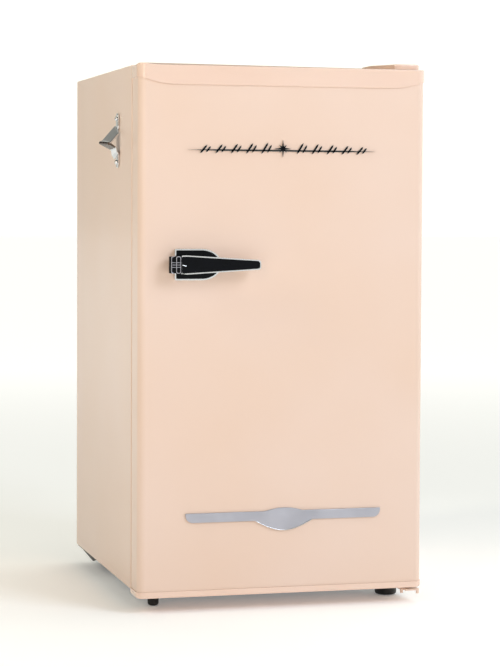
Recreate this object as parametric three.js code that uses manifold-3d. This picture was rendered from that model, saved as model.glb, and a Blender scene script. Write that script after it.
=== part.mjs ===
// Retro mini fridge: foamed steel cabinet, hinged door, freezer box, shelves and compressor.
// Units are millimetres, +Z is up, the door faces -Y and +X is on the viewer's right.
// Working frame: x = 0 on the cabinet's centre line, y = 0 on the door skin, z = 0 on the floor.
import * as THREE from 'three';
import { mergeVertices } from 'three/addons/utils/BufferGeometryUtils.js';
import Module from 'manifold-3d';

const wasm = await Module();
wasm.setup();

// ---- driving dimensions ---------------------------------------------------------------------
const width = 445;
const half = width / 2;
const cabinetBottom = 31;
const cabinetTop = 818;
const cabinetFront = 54;
const cabinetBack = 500;
const sheet = 1.2; // steel sheet
const gap = 0.3; // clearance between touching pieces
const inside = half - sheet; // inner face of the side sheets

const doorTop = 816;
const doorBottom = 24;
const doorBack = 46.5;
const doorCorner = 12; // radius of the door's front vertical edges
const capProud = 1.5; // how far the end caps stand outside the door skin
const capSkirt = 1.2;
const topCapHeight = 29.6;
const bottomCapHeight = 9.8;

const hingeX = 205; // door hinge axis
const hingeY = 22;
const pinRadius = 4;
const boreRadius = 4.3;

const linerHalf = 182; // inner face of the liner walls
const linerWall = 2;
const linerFloor = 76;
const linerCeiling = 770;
const linerRear = 453.7;
const stepFront = 288; // the liner steps up over the compressor
const stepTop = 252;
const bayFront = 345;
const bayRoof = 205;

const shelfFront = 165;
const shelfRear = 448;
const shelfThickness = 4;
const shelfHalf = 178;
const lowerShelfZ = 372;
const upperShelfZ = 490;
const coverShelfZ = 255;

const freezer = { left: -172, right: 118, front: 203, rear: 440, bottom: 650, top: 769.6, wall: 1.5 };
const handleZ = 521;
const condenserY = 507;
const openerY = 150;
const openerZ = 708;

// the origin is the centre of the whole object's footprint, on the floor
const openerReach = 31.3;
const leverFront = 28.2;
const condenserRadius = 2.4;
const originX = (capProud - openerReach) / 2;
const originY = (condenserY + condenserRadius - leverFront) / 2;

// ---- materials ------------------------------------------------------------------------------
const finish = (color, roughness, metalness = 0, extra = {}) => () =>
  new THREE.MeshStandardMaterial({ color, roughness, metalness, ...extra });
const enamel = finish(0xf0cfb6, 0.3);
const capPlastic = finish(0xf3d4bd, 0.35);
const chrome = finish(0xdadde0, 0.08, 1);
const satinMetal = finish(0xb9b6bc, 0.35, 0.9);
const blackGloss = finish(0x0d1015, 0.2);
const blackPlastic = finish(0x1e1c1d, 0.6);
const whitePlastic = finish(0xf1f1ee, 0.45);
const clearPlastic = finish(0xdfe8ea, 0.2, 0, { transparent: true, opacity: 0.4 });
const glass = finish(0xd5e6df, 0.05, 0, { transparent: true, opacity: 0.35 });
const zincSteel = finish(0x9fa3a6, 0.45, 0.9);
const darkSteel = finish(0x38393b, 0.5, 0.4);
const aluminium = finish(0xcfd2d4, 0.35, 0.9);
const copper = finish(0xb36a45, 0.35, 0.9);
const foam = finish(0xe9d9a8, 0.9);
const rubber = finish(0x2b2b2c, 0.85);
const sealVinyl = finish(0xe6d9cd, 0.6);

// ---- geometry helpers -----------------------------------------------------------------------
function toSolid(geometry) {
  geometry.deleteAttribute('normal');
  geometry.deleteAttribute('uv');
  const merged = mergeVertices(geometry, 1e-4);
  return new wasm.Manifold(new wasm.Mesh({
    numProp: 3,
    vertProperties: new Float32Array(merged.attributes.position.array),
    triVerts: new Uint32Array(merged.index.array),
  }));
}

function toGeometry(solid) {
  const mesh = solid.getMesh();
  const geometry = new THREE.BufferGeometry();
  geometry.setAttribute('position', new THREE.BufferAttribute(mesh.vertProperties, 3));
  geometry.setIndex(new THREE.BufferAttribute(mesh.triVerts, 1));
  geometry.computeVertexNormals();
  return geometry;
}

function block(x0, x1, y0, y1, z0, z1) {
  const geometry = new THREE.BoxGeometry(x1 - x0, y1 - y0, z1 - z0);
  geometry.translate((x0 + x1) / 2, (y0 + y1) / 2, (z0 + z1) / 2);
  return toSolid(geometry);
}

const outline = (points) => new THREE.Shape(points.map(([a, b]) => new THREE.Vector2(a, b)));

function extruded(shape, depth, curveSegments) {
  return new THREE.ExtrudeGeometry(shape, { depth, bevelEnabled: false, curveSegments });
}

// an (x, y) outline raised from z0 to z1
function raised(shape, z0, z1, curveSegments = 6) {
  return toSolid(extruded(shape, z1 - z0, curveSegments).translate(0, 0, z0));
}

// an (x, z) outline carried from y0 to y1
function throughY(shape, y0, y1, curveSegments = 6) {
  return toSolid(extruded(shape, y1 - y0, curveSegments).rotateX(Math.PI / 2).translate(0, y1, 0));
}

// a (y, z) outline carried from x0 to x1
function throughX(shape, x0, x1, curveSegments = 6) {
  const turn = new THREE.Matrix4().makeBasis(
    new THREE.Vector3(0, 1, 0), new THREE.Vector3(0, 0, 1), new THREE.Vector3(1, 0, 0));
  return toSolid(extruded(shape, x1 - x0, curveSegments).applyMatrix4(turn).translate(x0, 0, 0));
}

function rectangle(a0, a1, b0, b1, radius) {
  const shape = new THREE.Shape();
  if (!radius) return outline([[a0, b0], [a1, b0], [a1, b1], [a0, b1]]);
  shape.absarc(a1 - radius, b0 + radius, radius, -Math.PI / 2, 0);
  shape.absarc(a1 - radius, b1 - radius, radius, 0, Math.PI / 2);
  shape.absarc(a0 + radius, b1 - radius, radius, Math.PI / 2, Math.PI);
  shape.absarc(a0 + radius, b0 + radius, radius, Math.PI, Math.PI * 1.5);
  return shape;
}

// turned piece on the z axis, from (radius, z) pairs that start and end on the axis
const turned = (profile, sides = 20) =>
  new THREE.LatheGeometry(profile.map(([r, z]) => new THREE.Vector2(r, z)), sides).rotateX(Math.PI / 2);

const post = (radius, x, y, z0, z1, sides = 16) =>
  toSolid(turned([[0, 0], [radius, 0], [radius, z1 - z0], [0, z1 - z0]], sides).translate(x, y, z0));

function tube(points, radius, steps, sides = 8) {
  const curve = new THREE.CatmullRomCurve3(points.map((p) => new THREE.Vector3(...p)));
  return pipe(curve, radius, steps, sides);
}

function pipe(curve, radius, steps, sides = 8) {
  const corners = Array.from({ length: sides }, (_, i) => {
    const angle = (i / sides) * Math.PI * 2;
    return [radius * Math.cos(angle), radius * Math.sin(angle)];
  });
  return new THREE.ExtrudeGeometry(outline(corners), { steps, extrudePath: curve, bevelEnabled: false });
}

const joined = (solids) => solids.reduce((sum, solid) => sum.add(solid));
const less = (solid, ...cuts) => cuts.reduce((rest, cut) => rest.subtract(cut), solid);

const fridge = new THREE.Group();
const assembly = new THREE.Group(); // moved as a whole so that the origin is the footprint's centre
assembly.position.set(-originX, -originY, 0);
fridge.add(assembly);
const cabinet = new THREE.Group();
const interior = new THREE.Group();
const door = new THREE.Group();
assembly.add(cabinet, interior, door);

function piece(group, name, shape, material, position) {
  const geometry = shape.isBufferGeometry ? shape : toGeometry(shape);
  const mesh = new THREE.Mesh(geometry, material());
  mesh.name = name;
  if (position) mesh.position.set(...position);
  group.add(mesh);
  return mesh;
}

// ---- cabinet --------------------------------------------------------------------------------
// the cabinet seen from the front, with round top corners, shrunk by `inset` and cut off at `low`
function frontOutline(inset, low) {
  const radius = 6 - inset;
  const x = half - inset;
  const top = cabinetTop - inset;
  const shape = new THREE.Shape();
  shape.moveTo(-x, low);
  shape.lineTo(x, low);
  shape.absarc(x - radius, top - radius, radius, 0, Math.PI / 2);
  shape.absarc(-x + radius, top - radius, radius, Math.PI / 2, Math.PI);
  return shape;
}

function addCabinetShell() {
  const returnWidth = 34; // steel face that the door seal's magnet pulls on
  const rearReturn = 10;
  const hollow = throughY(frontOutline(sheet, cabinetBottom - 1), cabinetFront + sheet, cabinetBack - sheet);
  const frontWindow = throughY(outline([
    [-half + returnWidth, 0], [half - returnWidth, 0],
    [half - returnWidth, cabinetTop - returnWidth], [-half + returnWidth, cabinetTop - returnWidth],
  ]), cabinetFront - 1, cabinetFront + sheet + 1);
  const rearWindow = throughY(outline([
    [-half + rearReturn, 0], [half - rearReturn, 0],
    [half - rearReturn, cabinetTop - rearReturn], [-half + rearReturn, cabinetTop - rearReturn],
  ]), cabinetBack - sheet - 1, cabinetBack + 1);
  piece(cabinet, 'cabinet_wrap', less(throughY(frontOutline(0, cabinetBottom), cabinetFront, cabinetBack),
    hollow, frontWindow, rearWindow), enamel);

  const railLow = cabinetBottom + gap;
  const railHigh = 73;
  const railDepth = 36;
  const railHalf = half - returnWidth - gap;
  piece(cabinet, 'bottom_rail', joined([
    block(-railHalf, railHalf, cabinetFront, cabinetFront + sheet, railLow, railHigh),
    block(-railHalf, railHalf, cabinetFront, cabinetFront + railDepth, railLow, railLow + sheet),
  ]), enamel);

  const floorZ = 33;
  const rear = 497;
  piece(cabinet, 'floor_panel', throughX(outline([
    [cabinetFront + 3, floorZ], [bayFront + sheet, floorZ], [bayFront + sheet, bayRoof - sheet],
    [rear, bayRoof - sheet], [rear, bayRoof], [bayFront, bayRoof], [bayFront, floorZ + sheet],
    [cabinetFront + 3, floorZ + sheet],
  ]), -inside + gap, inside - gap), zincSteel);

  piece(cabinet, 'back_panel', throughY(frontOutline(sheet + gap, bayRoof + gap), rear + gap,
    cabinetBack - sheet - gap), zincSteel);
}

// the liner's outline seen from the side, grown outwards by `by` except at the front
const linerOutline = (front, by) => outline([
  [front, linerFloor - by], [stepFront + by, linerFloor - by], [stepFront + by, stepTop - by],
  [linerRear + by, stepTop - by], [linerRear + by, linerCeiling + by], [front, linerCeiling + by],
]);

function addLinerAndFoam() {
  const foamFront = 60;
  const foamGap = linerWall + gap;
  const foamBlock = throughY(frontOutline(sheet + gap, 34.5), foamFront, 497);
  const bay = block(-half, half, bayFront - gap, cabinetBack, 0, bayRoof + gap);
  const linerSpace = throughX(linerOutline(foamFront - 1, foamGap), -linerHalf - foamGap, linerHalf + foamGap);
  piece(cabinet, 'insulation', less(foamBlock, bay, linerSpace), foam);

  const lipY = cabinetFront + sheet + gap;
  const lip = 14;
  const railDepth = 10; // how far a shelf rail stands out from the side wall
  const rails = [];
  for (const side of [-1, 1]) {
    const x0 = Math.min(side * linerHalf, side * (linerHalf - railDepth));
    const x1 = Math.max(side * linerHalf, side * (linerHalf - railDepth));
    for (const z of [lowerShelfZ, upperShelfZ]) {
      rails.push(block(x0, x1, 150, 450, z - gap - 5, z - gap));
      rails.push(block(x0, x1, 220, 450, z + shelfThickness + 1.2, z + shelfThickness + 5));
    }
    rails.push(block(x0, x1, 150, stepFront + 1, coverShelfZ - gap - 5, coverShelfZ - gap));
  }
  const shell = joined([
    throughX(linerOutline(lipY, linerWall), -linerHalf - linerWall, linerHalf + linerWall),
    block(-linerHalf - lip, linerHalf + lip, lipY, lipY + linerWall, linerFloor - 14, linerCeiling + lip),
  ]);
  piece(cabinet, 'inner_liner',
    joined([less(shell, throughX(linerOutline(lipY - 1, 0), -linerHalf, linerHalf)), ...rails]), whitePlastic);
}

function addFeet() {
  const footY = 74;
  const slimFoot = turned([[0, 0], [4, 0], [8.5, 4], [8.5, 24.5], [3.5, 24.5], [3.5, 30.6], [0, 30.6]], 20);
  piece(cabinet, 'foot_left', slimFoot, blackPlastic, [-183, footY, 0]);
  const wideFoot = turned([[0, 0], [15, 0], [17, 3], [17, 24.5], [5, 24.5], [5, 31], [0, 31]], 24);
  piece(cabinet, 'foot_right', wideFoot, blackPlastic, [193, 84, 0]);
  for (const [name, x] of [['rear_foot_left', -170], ['rear_foot_right', 170]]) {
    piece(cabinet, name, turned([[0, 0], [12, 0], [14, 3], [12, 28.2], [0, 28.2]], 18), rubber, [x, 468, 0]);
  }
}

function addHinges() {
  // top hinge: plate screwed to the cabinet top, with a pin down into the door cap
  const plateBottom = cabinetTop + gap;
  const plateTop = plateBottom + 2;
  const pinEnd = doorTop - 8.8;
  const topPlate = raised(outline([
    [158, 64], [193, hingeY - 5], [199, hingeY - 8], [210, hingeY - 8], [214, hingeY], [214, 92], [158, 92],
  ]), plateBottom, plateTop);
  piece(cabinet, 'top_hinge', topPlate.add(post(pinRadius, hingeX, hingeY, pinEnd, plateBottom + 1)), zincSteel);

  // cover over the top hinge: its front runs slanting forward to reach over the door
  const coverTop = 825;
  const coverWall = 1.8;
  const coverFront = 10;
  const rim = (inset) => {
    const shape = new THREE.Shape();
    shape.moveTo(152 + inset * 1.5, 98 - inset);
    shape.lineTo(152 + inset * 1.5, 58 + inset * 0.3);
    shape.lineTo(178 + inset * 0.4, coverFront + 2 + inset);
    shape.lineTo(190, coverFront + inset);
    shape.absarc(210, coverFront + 9, 9 - inset, -Math.PI / 2, 0);
    shape.lineTo(219 - inset, 98 - inset);
    return shape;
  };
  piece(cabinet, 'hinge_cover', less(
    raised(rim(0), doorTop + 0.9, coverTop),
    raised(rim(coverWall), doorTop - 1, coverTop - coverWall),
    block(100, 230, cabinetFront - 3, 120, doorTop - 1, plateBottom)), capPlastic);

  // bottom hinge: cranked strap under the cabinet, a pin up into the door and two teeth at its front
  const strapLow = 18;
  const strapHigh = 26.7; // its underside where it lies along the cabinet
  const strapThickness = 3;
  const crankLength = 10;
  // the door's rear corner sweeps round the pin, so the strap rises behind its path
  const crankStart = hingeY + Math.hypot(half + capProud - hingeX, doorBack - hingeY) + 2 * gap;
  const crankEnd = crankStart + crankLength;
  const cranked = (front, rear, x0) => throughX(outline([
    [front, strapLow], [crankStart + 1.5, strapLow], [crankEnd + 1.5, strapHigh], [rear, strapHigh],
    [rear, strapHigh + strapThickness], [crankEnd, strapHigh + strapThickness],
    [crankStart, strapLow + strapThickness], [front, strapLow + strapThickness],
  ]), x0, 221);
  const teeth = [block(217, 221, 6, 10, 13, 19), block(194, 198, 14, 18, 13.5, 19)];
  piece(cabinet, 'bottom_hinge', joined([cranked(6, 118, 199), cranked(14, crankEnd + 4, 194), ...teeth,
    post(pinRadius, hingeX, hingeY, strapLow + 2, doorBottom + 5.8)]), enamel);
}

function addBottleOpener() {
  const wall = -half - gap;
  const strapThickness = 2.6;
  const strap = throughX(rectangle(openerY - 8, openerY + 8, openerZ - 42, openerZ + 42, 7.5),
    wall - strapThickness, wall, 4);
  const tip = -half - openerReach;
  const hood = throughY(outline([
    [wall, openerZ + 23], [tip, openerZ - 2], [tip, openerZ - 6], [wall, openerZ - 22],
    [wall, openerZ - 17.5], [tip + 5.5, openerZ - 3.2], [wall, openerZ + 18.5],
  ]), openerY - 13, openerY + 13);
  const prongRelief = block(tip - 1, wall - strapThickness, openerY + 4, openerY + 14,
    openerZ - 23, openerZ - 6.5);
  piece(cabinet, 'bottle_opener', less(strap.add(hood), prongRelief), chrome);
  for (const [name, z] of [['opener_screw_top', openerZ + 33.5], ['opener_screw_bottom', openerZ - 33.5]]) {
    const head = turned([[0, 0], [3.8, 0], [3.2, 2], [1.5, 2.8], [0, 2.8]], 14).rotateY(-Math.PI / 2);
    piece(cabinet, name, head, chrome, [wall - strapThickness - gap, openerY, z]);
  }
}

// ---- cooling unit ---------------------------------------------------------------------------
function addCompressor() {
  const plateLow = 28.5;
  const plateHigh = 30.5;
  const edge = inside - gap;
  // a wedge-shaped cheek hangs under each end of the plate, and a tab stands up inside each side sheet
  const cheek = outline([[352, 26.5], [387, 18.5], [472, 23.7], [480, 26.5], [495, 27], [495, 29.5], [352, 29.5]]);
  piece(cabinet, 'compressor_base', joined([
    block(-edge, edge, 352, 495, plateLow, plateHigh),
    throughX(cheek, -216, -214), throughX(cheek, 214, 216),
    block(-edge, -edge + sheet, 352, 495, plateLow, 52), block(edge - sheet, edge, 352, 495, plateLow, 52),
  ]), darkSteel);

  const centre = { x: 45, y: 436 };
  piece(cabinet, 'compressor', turned([
    [0, 0], [40, 0], [60, 12], [63, 24], [63, 55], [66, 57], [66, 61], [63, 63], [62, 92], [52, 112],
    [30, 121], [0, 123],
  ], 28), darkSteel, [centre.x, centre.y, 43]);
  piece(cabinet, 'compressor_bracket',
    raised(rectangle(centre.x - 92, centre.x + 92, centre.y - 30, centre.y + 30, 12), 39.5, 42.7, 4),
    darkSteel);
  let count = 0;
  for (const dx of [-80, 80]) {
    for (const dy of [-18, 18]) {
      count += 1;
      piece(cabinet, `grommet_${count}`, turned([[0, 0], [9, 0], [9, 3], [6, 4.4], [8, 5.8], [8, 8.4],
        [0, 8.4]], 12), rubber, [centre.x + dx, centre.y + dy, plateHigh + gap]);
    }
  }
  const coverRight = centre.x - 67;
  piece(cabinet, 'terminal_cover', throughX(rectangle(centre.y - 26, centre.y + 26, 62, 122, 6),
    coverRight - 30, coverRight, 4), blackPlastic);
  piece(cabinet, 'cord_gland', turned([[0, 0], [6, 0], [6, 3], [4.5, 3], [4, 20], [0, 20]], 12)
    .rotateY(-Math.PI / 2), blackPlastic, [coverRight - 30 - gap, centre.y + 8, 76]);
  piece(cabinet, 'evaporation_tray', less(
    raised(rectangle(centre.x - 60, centre.x + 60, centre.y - 50, centre.y + 50, 10), 168, 190, 4),
    raised(rectangle(centre.x - 58, centre.x + 58, centre.y - 48, centre.y + 48, 8), 170, 192, 4)),
  whitePlastic);
  const tubeRadius = 2.6;
  piece(cabinet, 'suction_tube', tube([[centre.x + 68, centre.y - 10, 120], [130, 424, 121],
    [152, 422, 140], [156, 424, 170], [156, 424, 202]], tubeRadius + 0.8, 20), copper);
  piece(cabinet, 'discharge_tube', tube([[centre.x + 67, centre.y + 20, 88], [132, 458, 88],
    [170, 466, 100], [188, 486, 130], [190, 501, 180], [190, condenserY - 1, 232]], tubeRadius, 24), copper);
  piece(cabinet, 'filter_drier', turned([[0, 0], [3, 2], [3, 12], [9, 20], [9, 86], [3, 95], [3, 106],
    [0, 108]], 14).rotateX(0.16), copper, [-150, 468, 62]);
}

function addCondenser() {
  const runs = 11;
  const pitch = 50;
  const lowest = 262;
  const reach = 168; // straight runs end here, and the bends stand outside
  const solids = [];
  for (let i = 0; i < runs; i += 1) {
    const run = turned([[0, 0], [condenserRadius, 0], [condenserRadius, 2 * reach + 0.4],
      [0, 2 * reach + 0.4]], 8).rotateY(Math.PI / 2);
    solids.push(toSolid(run.translate(-reach - 0.2, condenserY, lowest + i * pitch)));
    if (i < runs - 1) {
      const side = i % 2 === 0 ? -1 : 1;
      const z = lowest + (i + 0.5) * pitch;
      const arc = Array.from({ length: 9 }, (_, k) => {
        const angle = -Math.PI / 2 + (k / 8) * Math.PI;
        return new THREE.Vector3(side * (reach + (pitch / 2) * Math.cos(angle)), condenserY,
          z + (pitch / 2) * Math.sin(angle));
      });
      solids.push(toSolid(pipe(new THREE.CatmullRomCurve3(arc), condenserRadius, 8)));
    }
  }
  piece(cabinet, 'condenser_tube', joined(solids), darkSteel);
  for (const [name, x] of [['condenser_strap_left', -130], ['condenser_strap_right', 130]]) {
    piece(cabinet, name, block(x - 7, x + 7, cabinetBack + gap, condenserY - condenserRadius - gap,
      lowest - 14, lowest + (runs - 1) * pitch + 14), darkSteel);
  }
}

// ---- inside the cabinet ---------------------------------------------------------------------
function addFreezer() {
  const f = freezer;
  const skirt = 616; // the side sheets hang lower and carry the drip tray on inward lips
  const runner = (x0, x1, lip0, lip1) => joined([
    block(x0, x1, f.front + 2, f.rear, skirt, f.bottom + 1),
    block(lip0, lip1, f.front + 2, f.rear, skirt, skirt + f.wall),
  ]);
  piece(interior, 'freezer_box', joined([
    less(block(f.left, f.right, f.front, f.rear, f.bottom, f.top),
      block(f.left + f.wall, f.right - f.wall, f.front - 1, f.rear - f.wall,
        f.bottom + f.wall, f.top - f.wall)),
    runner(f.left, f.left + f.wall, f.left, f.left + 9),
    runner(f.right - f.wall, f.right, f.right - 9, f.right),
  ]), aluminium);

  const flap = joined([
    block(f.left + 1, f.right - 1, 192, 194, f.bottom - 2, 766),
    less(block(f.left + 1, f.right - 1, 193, 199.4, f.bottom - 2, 766),
      block(f.left + 5, f.right - 5, 193, 201, f.bottom + 2, 757)),
    block(-87, 33, 182, 193, f.bottom - 2, f.bottom + 1), // pull lip along the lower edge
    block(-87, 33, 182, 184, f.bottom - 2, f.bottom + 8),
  ]);
  piece(interior, 'freezer_flap', flap, whitePlastic);

  const trayFront = 209;
  const tray = { left: f.left + 3, right: f.right - 3, bottom: 617.8, top: 643, wall: 1.8 };
  piece(interior, 'drip_tray', joined([
    less(block(tray.left, tray.right, trayFront, 434, tray.bottom, tray.top),
      block(tray.left + tray.wall, tray.right - tray.wall, trayFront + tray.wall, 434 - tray.wall,
        tray.bottom + tray.wall, tray.top + 1)),
    block(tray.left, tray.right, trayFront - 12, trayFront + 1, tray.top - 3, tray.top),
    block(tray.left, tray.right, trayFront - 12, trayFront - 10, tray.top - 9, tray.top),
  ]), clearPlastic);
}

function addThermostat() {
  const face = 215;
  piece(interior, 'thermostat_housing',
    throughY(rectangle(124, linerHalf - gap, 672, linerCeiling - gap, 8), face, 330, 4), whitePlastic);
  const grip = toSolid(turned([[0, 0], [19, 0], [19, 3], [15.5, 5], [15, 14], [0, 14]], 24));
  const wings = block(-3, 3, -16, 16, 12, 17);
  piece(interior, 'thermostat_knob', toGeometry(grip.add(wings)).rotateX(Math.PI / 2), whitePlastic,
    [152, face - gap, 722]);
}

const shelfPlate = (z) => raised(rectangle(-shelfHalf, shelfHalf, shelfFront, shelfRear, 6),
  z, z + shelfThickness, 3);

function addShelves() {
  const trimHalf = linerHalf - 14; // the trim runs between the side rails
  for (const [name, z] of [['shelf_upper', upperShelfZ], ['shelf_lower', lowerShelfZ]]) {
    piece(interior, `${name}_glass`, shelfPlate(z), glass);
    piece(interior, `${name}_trim`, less(
      block(-trimHalf, trimHalf, shelfFront - 6, shelfFront + 11, z - 3.5, z + 8),
      block(-trimHalf - 1, trimHalf + 1, shelfFront - gap, shelfFront + 12, z - gap, z + shelfThickness + gap),
    ), whitePlastic);
  }
  piece(interior, 'crisper_cover', shelfPlate(coverShelfZ), glass);
}

function addCrisper() {
  const low = linerFloor + gap;
  const high = 246;
  const front = 162;
  const rear = 284;
  const wall = 2.4;
  const x = 168;
  const pull = less(block(-60, 60, front - 11, front + 1, 206, 224),
    block(-57, 57, front - 8.5, front + 2, 203, 221.5));
  piece(interior, 'crisper_drawer', joined([
    less(raised(rectangle(-x, x, front, rear, 8), low, high, 3),
      raised(rectangle(-x + wall, x - wall, front + wall, rear - wall, 6), low + wall, high + 1, 3)),
    pull,
  ]), clearPlastic);
}

// ---- door -----------------------------------------------------------------------------------
// the door's plan outline, with round front corners
function doorPlan(sideX, front, back, radius) {
  const shape = new THREE.Shape();
  shape.absarc(-sideX + radius, front + radius, radius, Math.PI, Math.PI * 1.5);
  shape.absarc(sideX - radius, front + radius, radius, Math.PI * 1.5, Math.PI * 2);
  shape.lineTo(sideX, back);
  shape.lineTo(-sideX, back);
  return shape;
}

const capOuter = () => doorPlan(half + capProud, -capProud, doorBack, doorCorner + capProud);
const capInner = () => doorPlan(half + capProud - capSkirt, capSkirt - capProud, doorBack + 1,
  doorCorner + capProud - capSkirt);

function addDoorCaps() {
  const slab = 10;
  const skirtLow = doorTop - topCapHeight;
  const endRise = 10;
  const bendStart = 172;
  const bendEnd = half - 4;
  // everything under the skirt's S-shaped lower edge
  const below = new THREE.Shape();
  below.moveTo(-half - 5, skirtLow - 5);
  below.lineTo(-half - 5, skirtLow + endRise);
  below.lineTo(-bendEnd, skirtLow + endRise);
  below.bezierCurveTo(-bendEnd + 18, skirtLow + endRise - 5, -bendStart - 16, skirtLow, -bendStart, skirtLow);
  below.lineTo(bendStart, skirtLow);
  below.bezierCurveTo(bendStart + 16, skirtLow, bendEnd - 18, skirtLow + endRise - 5, bendEnd, skirtLow + endRise);
  below.lineTo(half + 5, skirtLow + endRise);
  below.lineTo(half + 5, skirtLow - 5);
  const ear = throughY(outline([[-half - 2, doorTop - 1], [-half - 2, doorTop + 1.4],
    [-half + 8, doorTop + 2.2], [-half + 22, doorTop], [-half + 22, doorTop - 1]]), -2, 12);
  piece(door, 'door_cap_top', less(
    raised(capOuter(), skirtLow, doorTop).add(ear.intersect(raised(capOuter(), doorTop - 2, doorTop + 4))),
    raised(capInner(), skirtLow - 1, doorTop - slab),
    throughY(below, -5, doorBack + 5, 8),
    post(boreRadius, hingeX, hingeY, doorTop - slab - 1, doorTop + 1)), capPlastic);

  piece(door, 'door_cap_bottom', less(
    raised(capOuter(), doorBottom, doorBottom + bottomCapHeight),
    raised(capInner(), doorBottom + 6, doorBottom + bottomCapHeight + 1),
    post(boreRadius, hingeX, hingeY, doorBottom - 1, doorBottom + 7)), capPlastic);
}

function addDoorShell() {
  const low = doorBottom + 6 + gap;
  const high = doorTop - 10 - gap;
  const skin = 1;
  const plan = (inset, back) => doorPlan(half - inset, inset, back, doorCorner - inset);
  piece(door, 'door_panel', less(raised(plan(0, doorBack), low, high),
    raised(plan(skin, doorBack + 1), low - 1, high + 1)), enamel);
  const linerFront = doorBack - 2;
  piece(door, 'door_foam', raised(plan(skin + gap, linerFront - gap), low + 0.5, high - 0.5), foam);

  const dike = { half: 164, low: 92, high: 752, wall: 13, back: 70 };
  const plate = block(-half + skin + gap, half - skin - gap, linerFront, doorBack, low + 0.5, high - 0.5);
  const ring = less(throughY(rectangle(-dike.half, dike.half, dike.low, dike.high, 10), doorBack - 1, dike.back, 3),
    throughY(rectangle(-dike.half + dike.wall, dike.half - dike.wall, dike.low + dike.wall,
      dike.high - dike.wall, 6), doorBack - 2, dike.back + 1, 3));
  piece(door, 'door_liner', plate.add(ring), whitePlastic);

  const sealBack = cabinetFront - gap;
  const sealWidth = 15;
  const seal = { left: -217, right: 203.5, low: 46, high: 802 };
  piece(door, 'door_gasket', less(
    throughY(rectangle(seal.left, seal.right, seal.low, seal.high, 5), doorBack + gap, sealBack, 3),
    throughY(rectangle(seal.left + sealWidth, seal.right - sealWidth, seal.low + sealWidth,
      seal.high - sealWidth, 2), doorBack - 1, sealBack + 1, 3)), sealVinyl);
}

// open-topped door bin between two x positions
function bin(x0, x1, low, high, frontHigh) {
  const near = doorBack + gap;
  const far = 108;
  const wall = 2.2;
  const body = less(block(x0, x1, near, far, low, high),
    block(x0 + wall, x1 - wall, near + wall, far - wall, low + wall, high + 1));
  return less(body, block(x0 - 1, x1 + 1, far - wall - 14, far + 1, frontHigh, high + 1));
}

function addDoorBins() {
  const reach = 150;
  piece(door, 'bin_upper', bin(-reach, reach, 612, 668, 652), clearPlastic);
  piece(door, 'bin_middle', bin(-6, reach, 415, 470, 454), clearPlastic);
  piece(door, 'bin_bottle', bin(-reach, reach, 112, 196, 178), clearPlastic);
  // can dispenser: a tall chute that drops cans to an open cradle at its foot
  const chute = { x0: -reach, x1: -14, low: 230, high: 560, near: doorBack + gap, far: 108, wall: 2.4 };
  const w = chute.wall;
  piece(door, 'can_dispenser', less(
    block(chute.x0, chute.x1, chute.near, chute.far, chute.low, chute.high),
    block(chute.x0 + w, chute.x1 - w, chute.near + w, chute.far - w, chute.low + w, chute.high + 1),
    block(chute.x0 + 40, chute.x1 - 40, chute.far - w - 1, chute.far + 1, chute.low + 110, chute.high - 20),
    block(chute.x0 + 14, chute.x1 - 14, chute.far - w - 1, chute.far + 1, chute.low + 26, chute.low + 88)),
  clearPlastic);
}

function addHandle() {
  const plateLeft = -169.5;
  const plateRight = -103;
  const plateHalf = 23.3;
  const dShape = (inset) => {
    const shape = new THREE.Shape();
    const straight = plateLeft + 41;
    shape.moveTo(plateLeft + inset, handleZ - plateHalf + inset);
    shape.lineTo(straight, handleZ - plateHalf + inset);
    shape.absellipse(straight, handleZ, plateRight - straight - inset, plateHalf - inset, -Math.PI / 2, Math.PI / 2);
    shape.lineTo(plateLeft + inset, handleZ + plateHalf - inset);
    return shape;
  };
  const plateFront = -6;
  piece(door, 'handle_plate', throughY(dShape(0), plateFront, -gap, 10), chrome);
  piece(door, 'handle_plate_inlay', throughY(dShape(2.6), plateFront - gap - 0.8, plateFront - gap, 10), blackGloss);

  const knuckle = new THREE.Shape();
  knuckle.moveTo(-164, plateFront - 1.4);
  knuckle.lineTo(-178, plateFront - 1.4);
  knuckle.absarc(-172, -17.5, 9, Math.PI, Math.PI * 1.5);
  knuckle.lineTo(-164, -26.5);
  piece(door, 'handle_knuckle', raised(knuckle, handleZ - 13, handleZ + 13, 8), chrome);

  const leverLeft = -164 + gap;
  const leverTip = -43;
  const lever = (inset) => {
    const shape = new THREE.Shape();
    const wide = 14 - inset;
    const slim = 7.4 - inset;
    const round = 4;
    shape.moveTo(leverLeft + inset, handleZ - wide + 1);
    shape.lineTo(leverLeft + 8, handleZ - wide);
    shape.lineTo(leverTip - round, handleZ - slim);
    shape.quadraticCurveTo(leverTip - inset, handleZ - slim, leverTip - inset, handleZ - slim + round);
    shape.lineTo(leverTip - inset, handleZ + slim - round);
    shape.quadraticCurveTo(leverTip - inset, handleZ + slim, leverTip - round, handleZ + slim);
    shape.lineTo(leverLeft + 8, handleZ + wide);
    shape.lineTo(leverLeft + inset, handleZ + wide - 1);
    return shape;
  };
  const leverFace = -leverFront + 1.1;
  piece(door, 'handle_lever', throughY(lever(0), leverFace, -18.5, 6), chrome);
  piece(door, 'handle_lever_inlay', throughY(lever(2.2), -leverFront, leverFace - gap, 6), blackGloss);
}

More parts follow.
